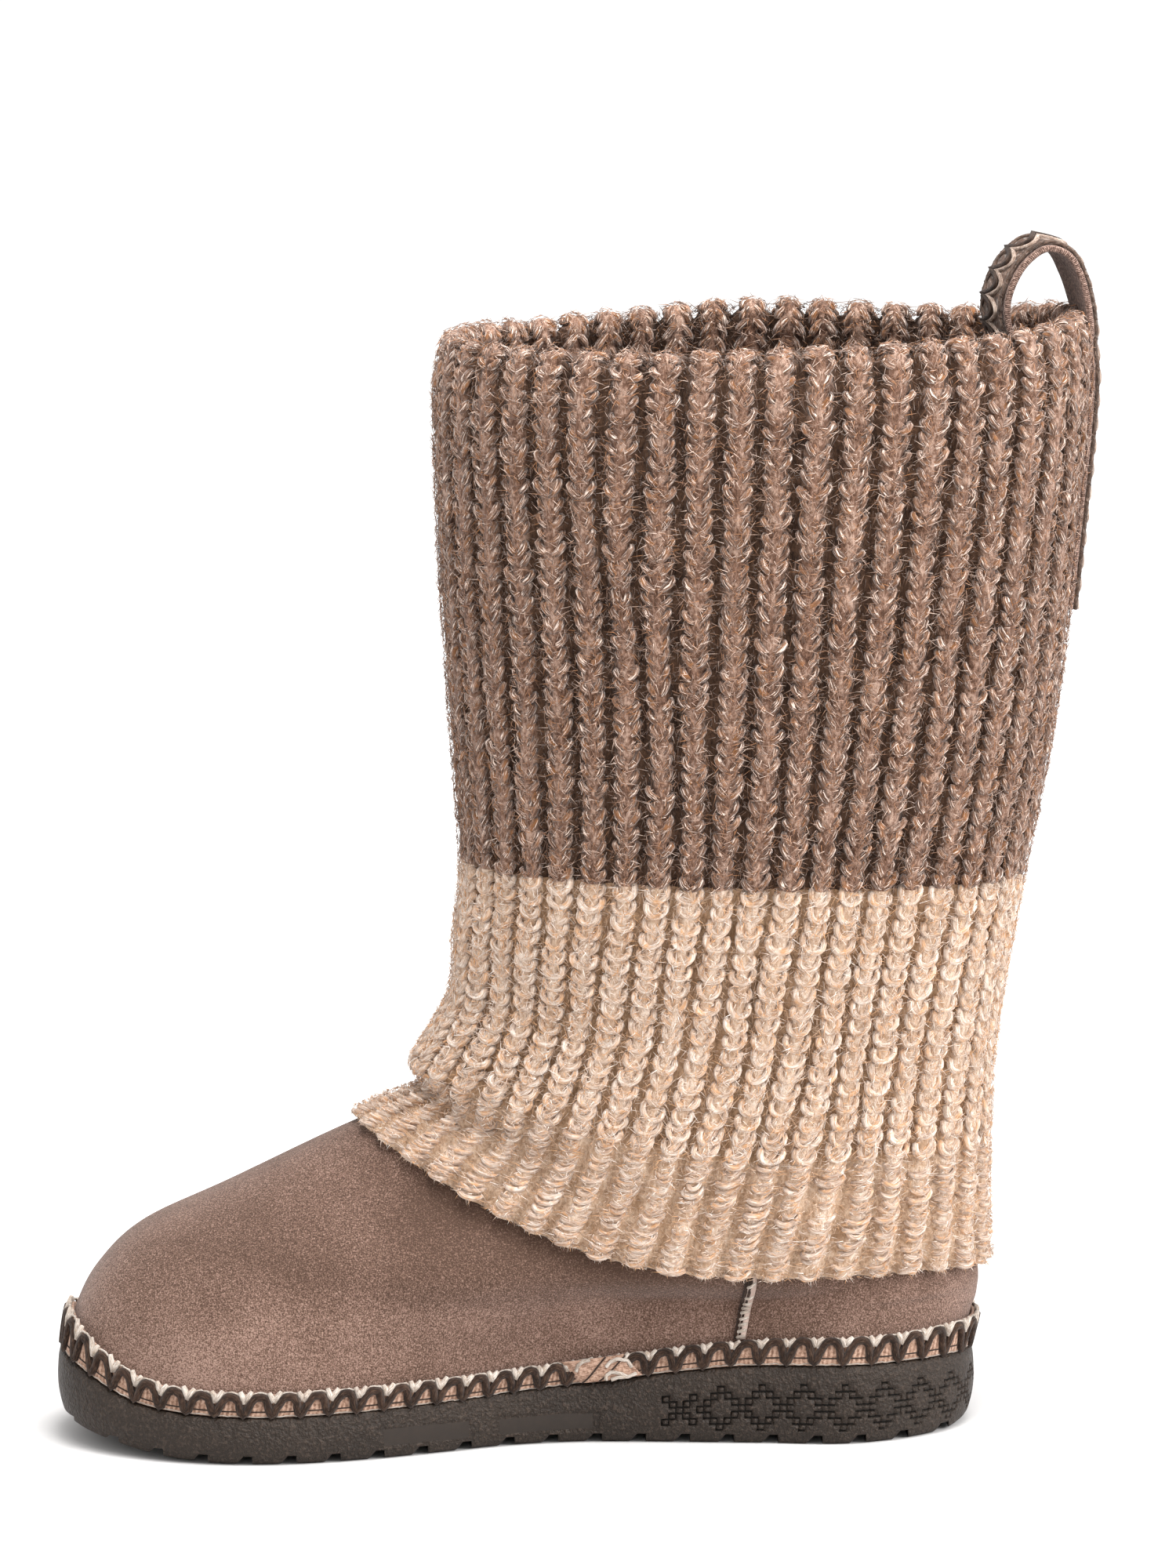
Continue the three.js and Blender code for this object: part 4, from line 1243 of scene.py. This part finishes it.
def ribbonMaterial():
    recipe = Recipe("ribbon")
    spot = recipe.add("ShaderNodeSeparateXYZ", {"Vector": recipe.place.outputs["UV"]}).outputs["X"]
    ribs = recipe.maths("SINE", recipe.maths("MULTIPLY", spot, tau * 6))
    grain = recipe.noise(recipe.place.outputs["Object"], 1100, 2)
    tone = recipe.maths("ADD", recipe.maths("MULTIPLY", ribs, 0.11), grain)
    colour = recipe.ramp(tone, (0.3, (112, 84, 69)), (0.5, (154, 123, 104)), (0.72, (186, 156, 138)))
    return recipe.finish(colour, recipe.relief(tone, 0.3), Roughness=0.9, Specular_IOR_Level=0.2, Sheen_Weight=0.1)


darkYarn = {
    "shades": ((0.4, (24, 16, 11)), (0.5, (42, 29, 22)), (0.6, (74, 55, 44))),
    "fleck": (98, 78, 64),
    "tint": (44, 28, 19),
    "flecked": 0.5,
    "tinted": 0.6,
    "marl": 2.5,
    "streak": 5,
    "patchScale": 200,
    "relief": 0.8,
    "sheen": 0.1,
}
tuftYarn = {
    "shades": ((0.4, (122, 106, 94)), (0.5, (174, 160, 148)), (0.6, (220, 210, 200))),
    "fleck": (245, 240, 232),
    "tint": (176, 156, 136),
    "flecked": 0.5,
    "tinted": 0.6,
    "marl": 2.5,
    "streak": 5,
    "patchScale": 200,
    "relief": 0.8,
    "sheen": 0.1,
}
archMaterial = yarnMaterial("darkYarn", darkYarn)
tuftMaterial = yarnMaterial("tuftYarn", tuftYarn)
ribbonLook = ribbonMaterial()


def makeBraid():
    columns = bandMotifs * 8
    motif = np.arange(columns) / 8
    section = [(0.0, 0.1), (0.0, 1.1), (0.04, 1.4), (0.3, 1.4), (0.6, 1.4), (0.8, 1.35), (0.89, 1.1), (0.9, 0.1)]
    section += [(0.6, 0.05), (0.3, 0.05)]
    points = np.array([onBand(motif, up, out)[0] for up, out in section])
    quads, corners = gridFaces(len(points), columns, ringed=True)
    uv = np.stack([corners[..., 0] / 8, corners[..., 1] / len(section)], axis=-1)
    addPiece("braidRibbon", points.reshape(-1, 3), quads.tolist(), ribbonLook, "braid", ["braid_band"], uv)
    tufts = waveYarn(braidLooks["tuft"], bandMotifs, onBand, 1.55, braidLooks["tuftYarn"], 6)
    arches = waveYarn(braidLooks["arch"], bandMotifs, onBand, 1.6, braidLooks["archYarn"], 7, crown=0.15)
    addPiece("braidTufts", *tufts[:2], tuftMaterial, "braid", uv=tufts[2])
    addPiece("braidArches", *arches[:2], archMaterial, "braid", uv=arches[2])
    notch = np.array(braidLooks["notch"])
    strokes = []
    for side in (-1, 1):
        motif = np.arange(bandMotifs)[:, None] + side * notch[None, :, 0]
        up = notch[None, :, 1] + chance.normal(0, 0.02, motif.shape)
        path, normals = onBand(motif, up, 1.75)
        radius = braidLooks["notchYarn"] * np.array([0.7, 1.1, 0.9])
        strokes.append(yarns(path, radius, normals, 6))
    notches = joined(*strokes)
    addPiece("braidNotches", *notches[:2], tuftMaterial, "braid", uv=notches[2])
    line = onBand(np.arange(bandMotifs * 8) / 8, braidLooks["stitchLine"], 1.5)
    thread = ringYarn(line[0], 0.22, line[1], 5)
    addPiece("braidStitchLine", *thread[:2], archMaterial, "braid", uv=thread[2])
    frayed = np.arange(bandMotifs * 8)
    edge = onBand(frayed / 8, 0.02 + chance.uniform(0, 0.06, len(frayed)), 1.4)
    fray = ringYarn(edge[0], 0.2, edge[1], 4)
    addPiece("braidFray", *fray[:2], tuftMaterial, "braid", uv=fray[2])
    print("braid made,", bandMotifs, "motifs")


makeBraid()


# The angle at which a level of the foot lies so far from the back of the sole; edge is 1 for outer and -1 for inner
def footAngle(level, place, edge):
    low = np.zeros(np.broadcast(level, place).shape)
    high = low + math.pi
    for _ in range(30):
        middle = (low + high) / 2
        short = foot["heelSetback"] - footPoint(edge * middle, level)[..., 0] < place
        low = np.where(short, middle, low)
        high = np.where(short, high, middle)
    return edge * low


# The braid's end, folded over the band on the inner side: along 0 to 1 towards the heel, up 0 to 1
def onLap(along, up, out):
    along, up, out = np.broadcast_arrays(np.asarray(along, float), up, out)
    place = lap["place"] - lap["length"] * along - lap["slant"] * (1 - up)
    angle = footAngle(np.minimum(up, 1.0), place, -1)
    level = braidTop(angle.ravel()).reshape(angle.shape) * up
    away = braid["gap"] + braid["thickness"] + lap["gap"] * 0.6 + out
    return offsetPoint(footPoint, angle, level, away), normalAt(footPoint, angle, level)


def makeLap():
    columns = 17
    rows = 9
    along, up = np.meshgrid(np.linspace(0, 1, columns), np.linspace(0.04, 1.0, rows))
    # the ribbon comes up from under its start, folds over and dives back at its end
    crown = 0.9 * np.sin(along * math.pi) ** 0.5 - 0.5 * (1 - np.sin(along * math.pi)) ** 3
    front = onLap(along, up, crown)[0]
    back = onLap(along, up, crown - 0.9)[0]
    points = np.concatenate([front.reshape(-1, 3), back.reshape(-1, 3)])
    quads, corners = gridFaces(rows, columns, closed=False)
    size = rows * columns
    faces = quads.tolist() + (quads[:, ::-1] + size).tolist()
    rim = [r * columns for r in range(rows - 1, 0, -1)] + list(range(columns))
    rim += [r * columns + columns - 1 for r in range(1, rows)]
    rim += [(rows - 1) * columns + c for c in range(columns - 2, 0, -1)]
    for i, a in enumerate(rim):
        b = rim[(i + 1) % len(rim)]
        faces.append([b, a, a + size, b + size])
    slanted = np.stack([(corners[..., 0] + 2 * corners[..., 1]) / columns * 2, corners[..., 1] / rows], axis=-1)
    uv = np.concatenate([slanted.reshape(-1, 2), slanted[:, ::-1].reshape(-1, 2), np.zeros((4 * len(rim), 2))])
    addPiece("braidLapRibbon", points, faces, ribbonLook, "braid", ["braid_lap"], uv)

    def laid(route, steps=24):
        route = np.array(route, float)
        t = np.linspace(0, len(route) - 1, steps)
        at = [np.interp(t, np.arange(len(route)), route[:, axis]) for axis in (0, 1)]
        lift = 0.9 * np.sin(at[0] * math.pi) ** 0.5 - 0.5 * (1 - np.sin(at[0] * math.pi)) ** 3
        path, normals = onLap(at[0], at[1], lift + 0.15)
        return path[None], normals[None]

    threads = []
    for low, high in (((0.02, 0.04), (0.72, 1.0)), ((0.3, 0.04), (1.0, 0.92))):
        path, normals = laid([low, high])
        threads.append(yarns(path, 0.28, normals, 5))
    dark = joined(*threads)
    addPiece("braidLapThreads", *dark[:2], archMaterial, "braid", uv=dark[2])
    curls = []
    for route in (
        [(0.42, 0.06), (0.5, 0.3), (0.62, 0.42), (0.74, 0.3), (0.78, 0.08)],
        [(0.6, 0.62), (0.72, 0.78), (0.86, 0.86), (0.98, 0.72), (0.96, 0.45)],
        [(0.1, 0.6), (0.2, 0.82), (0.34, 0.96), (0.46, 0.98)],
        [(0.5, 0.05), (0.64, 0.14), (0.8, 0.1), (0.95, 0.2)],
    ):
        path, normals = laid(route)
        curls.append(yarns(path, 0.6, normals, 6))
    pale = joined(*curls)
    addPiece("braidLapCurls", *pale[:2], tuftMaterial, "braid", uv=pale[2])


makeLap()

# Side seams: a fold of suede with a row of block stitches
seam = {"place": 74, "lean": 3, "width": 3.4, "height": 1.6, "stitches": 9, "stitchWidth": 2.2}


def onSeam(edge, share, across, out):
    share, across, out = np.broadcast_arrays(share, across, out)
    start = float(braidTop(footAngle(np.array([1.0]), seam["place"], edge))[0]) + 0.06
    level = mix(start, hemLevel + 0.1, share)
    angle = footAngle(level, seam["place"] - seam["lean"] * share + across, edge)
    return offsetPoint(footPoint, angle, level, out), normalAt(footPoint, angle, level)


def makeSeam(edge, name, node):
    half = seam["width"] / 2
    profile = [(-half, -0.4), (-half * 0.95, 0.9), (-half * 0.5, 1.55), (0.1, 1.5), (half * 0.6, 1.15), (half, 0.2)]
    profile += [(half, -0.4)]
    share = np.linspace(0, 1, 13)
    rows = np.array([onSeam(edge, s, *np.array(profile).T)[0] for s in share])
    quads, _ = gridFaces(len(rows), len(profile))
    last = (len(rows) - 1) * len(profile)
    faces = quads.tolist() + [list(range(len(profile)))[::-1], [last + i for i in range(len(profile))]]
    if edge < 0:
        faces = [face[::-1] for face in faces]
    addPiece(name + "Fold", rows.reshape(-1, 3), faces, bpy.data.materials["suede"], "suede")
    t = np.linspace(-1, 1, 7)
    middles = (np.arange(seam["stitches"]) + 0.5) / seam["stitches"]
    paths = []
    outs = []
    for middle in middles:
        path, normals = onSeam(edge, middle - 0.015 * t, t * seam["stitchWidth"] / 2, 1.6 - 0.7 * np.abs(t) ** 3)
        paths.append(path)
        outs.append(normals)
    stitches = yarns(np.array(paths), 0.52, np.array(outs), 7)
    # painted shade: two dark yarns along the seam, beside and under its stitches, stand in for the shadow in its groove
    lines = []
    for across, out, radius in ((half * 0.8, 0.7, 0.7), (0.2, 1.0, 0.62)):
        path, normals = onSeam(edge, np.linspace(0.01, 0.99, 20), across, out)
        lines.append(yarns(path[None], radius, normals[None], 6))
    seamShadeLines = joined(*lines)
    addPiece(name + "Line", *seamShadeLines[:2], archMaterial, "stitching", uv=seamShadeLines[2])
    addPiece(name + "Stitches", *stitches[:2], tuftMaterial, "stitching", [node], stitches[2])


makeSeam(-1, "innerSeam", "side_piping_inner")
makeSeam(1, "outerSeam", "side_piping_outer")

# Pull loop: tape sewn inside the collar and down the back, with the braid on its outer face
loop = {
    "pale": ((0.4, (96, 76, 64)), (0.5, (150, 127, 112)), (0.6, (206, 190, 176))),
    "edging": ((0.4, (40, 28, 22)), (0.5, (76, 58, 48)), (0.6, (128, 104, 90))),
    "width": 20,
    "thickness": 2,
    "braidWidth": 17.5,
    "braidThickness": 2.2,
    "stand": 29.3,
    "reach": 27.2,
    "turn": 12,
    "inside": 44,
    "outside": 80,
    "seam": 8,
    "hollow": 2.2,
    "ribDepth": 2.4,
    "gap": 0.5,
    "motif": 6.8,
}
loopRows = table(
    "run climb turn",
    (-0.515, -0.82, 0.3),
    (-0.66, -0.44, 0.6),
    (-0.845, -0.1, 0.9),
    (-0.98, 0.19, 1),
    (-1, 0.43, 1),
    (-0.925, 0.665, 1),
    (-0.78, 0.87, 1),
    (-0.56, 1, 1),
    (-0.33, 0.93, 1),
    (-0.185, 0.7, 1),
    (-0.09, 0.41, 0.8),
    (-0.03, 0.137, 0.4),
)


# The tape's middle line as many points with their turns, drawn through the rows as a smooth curve
def loopLine():
    seat = loop["gap"] + loop["thickness"] / 2
    shoulder = shaftPoint(0.0, topLevel)
    inner = [shaftLevelAt(shaft["collarHeight"] - depth) for depth in (loop["inside"], loop["inside"] - loop["seam"])]
    outer = [mix(topLevel - 0.25, shaftLevelAt(shaft["collarHeight"] - loop["outside"]), s) for s in np.linspace(0, 1, 5)]
    sewnIn = [offsetPoint(shaftPoint, 0.0, level, -shaft["turnInWall"] - seat - loop["hollow"]) for level in inner]
    sewnOut = [offsetPoint(shaftPoint, 0.0, level, seat - loop["ribDepth"]) for level in outer]
    free = stack(
        shoulder[0] + loop["reach"] * loopRows["run"], 0, shaft["collarHeight"] + loop["stand"] * loopRows["climb"]
    )
    route = np.concatenate([sewnIn, free, sewnOut])
    turns = np.concatenate([np.zeros(2), loopRows["turn"], np.zeros(5)])
    padded = np.concatenate([[2 * route[0] - route[1]], route, [2 * route[-1] - route[-2]]])
    points = []
    angles = []
    for i in range(len(route) - 1):
        p0, p1, p2, p3 = padded[i : i + 4]
        t0 = 0
        t1 = t0 + np.linalg.norm(p1 - p0) ** 0.5
        t2 = t1 + np.linalg.norm(p2 - p1) ** 0.5
        t3 = t2 + np.linalg.norm(p3 - p2) ** 0.5
        for share in np.linspace(0, 1, 8, endpoint=False):
            t = mix(t1, t2, share)
            a1 = mix(p0, p1, (t - t0) / (t1 - t0))
            a2 = mix(p1, p2, (t - t1) / (t2 - t1))
            a3 = mix(p2, p3, (t - t2) / (t3 - t2))
            b1 = mix(a1, a2, (t - t0) / (t2 - t0))
            b2 = mix(a2, a3, (t - t1) / (t3 - t1))
            points.append(mix(b1, b2, (t - t1) / (t2 - t1)))
            angles.append(mix(turns[i], turns[i + 1], share))
    points.append(route[-1])
    angles.append(0)
    points = np.array(points)
    steps = np.linalg.norm(np.diff(points, axis=0), axis=1)
    return points, np.array(angles), np.concatenate([[0], np.cumsum(steps)])


linePoints, lineTurns, lineLengths = loopLine()
lineTangents = unit(np.gradient(linePoints, lineLengths, axis=0))


# A place on the loop: along and across in millimetres, out off its middle line
def onLoop(along, across, out):
    along, across, out = np.broadcast_arrays(along, across, out)
    point = np.stack([np.interp(along, lineLengths, linePoints[:, axis]) for axis in range(3)], axis=-1)
    tangent = unit(np.stack([np.interp(along, lineLengths, lineTangents[:, axis]) for axis in range(3)], axis=-1))
    outward = stack(-tangent[..., 2], 0, tangent[..., 0])
    shear = np.tan(np.radians(loop["turn"] * np.interp(along, lineLengths, lineTurns)))
    return point + outward * out[..., None] + stack(-across * shear, across, 0), outward


def makeLoop():
    total = lineLengths[-1]
    half = loop["thickness"] / 2
    edge = loop["width"] / 2
    section = [(-edge, 0), (-edge * 0.985, half * 0.8), (-edge * 0.94, half), (-edge * 0.5, half), (0, half)]
    section += [(-x, y) for x, y in section[-2::-1]]
    section += [(-x, -y) for x, y in section[1:-1]]
    rows = np.linspace(0, total, round(total / 1.2))
    points = np.array([onLoop(row, *np.array(section).T)[0] for row in rows])
    quads, corners = gridFaces(len(rows), len(section))
    last = (len(rows) - 1) * len(section)
    faces = quads[:, ::-1].tolist()
    faces += [list(range(len(section))), [last + i for i in range(len(section))][::-1]]
    width = np.array([x for x, y in section] + [section[0][0]])
    uv = np.stack([rows[corners[..., 1]] / 10, width[corners[..., 0]] / 10], axis=-1)[:, ::-1]
    caps = np.zeros((2 * len(section), 2))
    uvs = np.concatenate([uv.reshape(-1, 2), caps])
    addPiece("loopTape", points.reshape(-1, 3), faces, tapeMaterial(), "tape", ["pull_loop"], uvs)

    low = half + 0.15
    side = loop["braidWidth"] / 2
    section = [(-side, low), (-side, low + 0.9), (-side * 0.9, low + 1.2), (0, low + 1.2)]
    section += [(-x, y) for x, y in section[-2::-1]]
    section += [(0, low)]
    points = np.array([onLoop(row, *np.array(section).T)[0] for row in rows])
    quads, corners = gridFaces(len(rows), len(section))
    last = (len(rows) - 1) * len(section)
    faces = quads[:, ::-1].tolist()
    faces += [list(range(len(section))), [last + i for i in range(len(section))][::-1]]
    uv = np.stack([rows[corners[..., 1]] / 9, corners[..., 0] / len(section)], axis=-1)[:, ::-1]
    uvs = np.concatenate([uv.reshape(-1, 2), np.zeros((2 * len(section), 2))])
    edgeMaterial = yarnMaterial("loopEdge", dict(tuftYarn, shades=loop["edging"], tint=(84, 62, 50), flecked=0.15))
    addPiece("loopRibbon", points.reshape(-1, 3), faces, edgeMaterial, "braid", ["pull_loop_braid"], uvs)

    motifs = int(total / loop["motif"])
    t = np.arange(0, motifs * 14 + 1) / 14
    along = t / motifs * total
    wave = np.abs(np.cos(t * math.pi))
    yarnsOnLoop = []
    for across, out, radius in ((mix(side * 0.85, -side * 0.35, wave**0.7), low + 1.35, 1.05),):
        path, normals = onLoop(along, across, out)
        yarnsOnLoop.append(yarns(path[None], radius, normals[None], 8))
    dark = joined(*yarnsOnLoop)
    addPiece("loopArches", *dark[:2], archMaterial, "braid", uv=dark[2])
    edging = []
    whips = np.arange(1.5, total - 1, 1.9)[:, None]
    swing = np.linspace(-1, 1, 5)[None]
    hug = 0.4
    for edgeSide in (-1, 1):
        across = edgeSide * (side * 0.95 + hug * np.cos(swing * 1.7)) + 0 * whips
        places = whips + 0.5 * swing + chance.normal(0, 0.2, whips.shape)
        path, normals = onLoop(places, across, low + 0.75 + hug * np.sin(swing * 1.7))
        edging.append(yarns(path, 0.32, normals, 4))
    pale = []
    for across in (mix(side * 0.3, -side * 0.75, wave**0.7),):
        path, normals = onLoop(along, across, low + 1.3)
        pale.append(yarns(path[None], 0.8, normals[None], 6))
    pale = joined(*pale)
    paleMaterial = yarnMaterial("loopPale", dict(tuftYarn, shades=loop["pale"], tint=(112, 90, 76), flecked=0.3))
    addPiece("loopTufts", *pale[:2], paleMaterial, "braid", uv=pale[2])
    path, normals = onLoop(along, side * 0.62 + 0.9 * np.cos(t * tau), low + 1.3)
    edging.append(yarns(path[None], 0.7, normals[None], 6))
    for edgeSide in (-1, 1):
        path, normals = onLoop(along, edgeSide * side * 0.95 + 0.2 * np.sin(t * 9), low + 0.75)
        edging.append(yarns(path[None], 0.6, normals[None], 6))
    edging = joined(*edging)
    addPiece("loopEdging", *edging[:2], edgeMaterial, "braid", uv=edging[2])
    print("loop made")


def tapeMaterial():
    recipe = Recipe("tape")
    yarn = recipe.place.outputs["UV"]
    twill = recipe.add(
        "ShaderNodeTexWave", {"Vector": yarn, "Scale": 11.0, "Distortion": 3, "Detail": 2}, bands_direction="DIAGONAL"
    ).outputs["Fac"]
    speck = recipe.noise(recipe.place.outputs["Object"], 1300, 2, 0.6)
    tone = recipe.maths("ADD", recipe.maths("MULTIPLY", twill, 0.3), speck)
    colour = recipe.ramp(tone, (0.45, (60, 44, 37)), (0.68, (112, 88, 78)), (0.9, (166, 140, 127)))
    return recipe.finish(colour, recipe.relief(tone, 0.3), Roughness=0.95, Specular_IOR_Level=0.15, Sheen_Weight=0.15)


makeLoop()

# Studio
studio = {
    "camera": (-225.2, -2518.2, 652.9),
    "aim": (-71, 3, 197.0),
    "lens": 194.7,
    # painted light: the floor runs from grey near the boot to white far off, making up for the lamps' light falling off
    # with distance
    "floor": ((212, 210, 209), (255, 255, 255)),  # close to the boot, and far off
    "reach": 2,
}


def makeStudio():
    floorMesh = bpy.data.meshes.new("floor")
    reach = 6
    floorMesh.from_pydata([(-reach, -reach, 0), (reach, -reach, 0), (reach, reach, 0), (-reach, reach, 0)], [], [(0, 1, 2, 3)])
    floor = bpy.data.objects.new("floor", floorMesh)
    bpy.context.scene.collection.objects.link(floor)
    recipe = Recipe("paper")
    near, far = studio["floor"]
    distance = recipe.add("ShaderNodeVectorMath", {0: recipe.place.outputs["Object"]}, operation="LENGTH").outputs["Value"]
    spread = recipe.maths("DIVIDE", distance, studio["reach"])
    # painted light: the floor colour ramps from grey near the boot to white far off
    floorMesh.materials.append(recipe.finish(recipe.ramp(spread, (0.12, near), (0.5, far)), Roughness=0.9))

    def softLight(name, position, size, power, aim=(-0.08, 0, 0.16)):
        data = bpy.data.lights.new(name, "AREA")
        data.shape = "DISK"
        data.size = size
        data.energy = power
        lamp = bpy.data.objects.new(name, data)
        lamp.location = position
        lamp.rotation_euler = (Vector(aim) - Vector(position)).to_track_quat("-Z", "Y").to_euler()
        bpy.context.scene.collection.objects.link(lamp)

    softLight("keyLight", (1.9, -1.0, 1.2), 1.5, 62)
    softLight("fillLight", (-1.6, -1.2, 1.3), 1.4, 1.5)
    softLight("topLight", (0.05, -0.9, 2.3), 1.6, 36)
    softLight("overheadLight", (-0.04, -0.12, 1.0), 0.5, 8)
    world = bpy.data.worlds.new("studio")
    world.use_nodes = True
    background = world.node_tree.nodes["Background"]
    background.inputs["Color"].default_value = (1, 1, 1, 1)
    background.inputs["Strength"].default_value = 1.0
    bpy.context.scene.world = world

    camera = bpy.data.objects.new("camera", bpy.data.cameras.new("camera"))
    camera.data.lens = studio["lens"]
    camera.location = Vector(studio["camera"]) * millimetre
    way = (Vector(studio["aim"]) - Vector(studio["camera"])) * millimetre
    camera.rotation_euler = way.to_track_quat("-Z", "Y").to_euler()
    bpy.context.scene.collection.objects.link(camera)
    bpy.context.scene.camera = camera


makeStudio()
bpy.context.scene.view_settings.view_transform = "Standard"
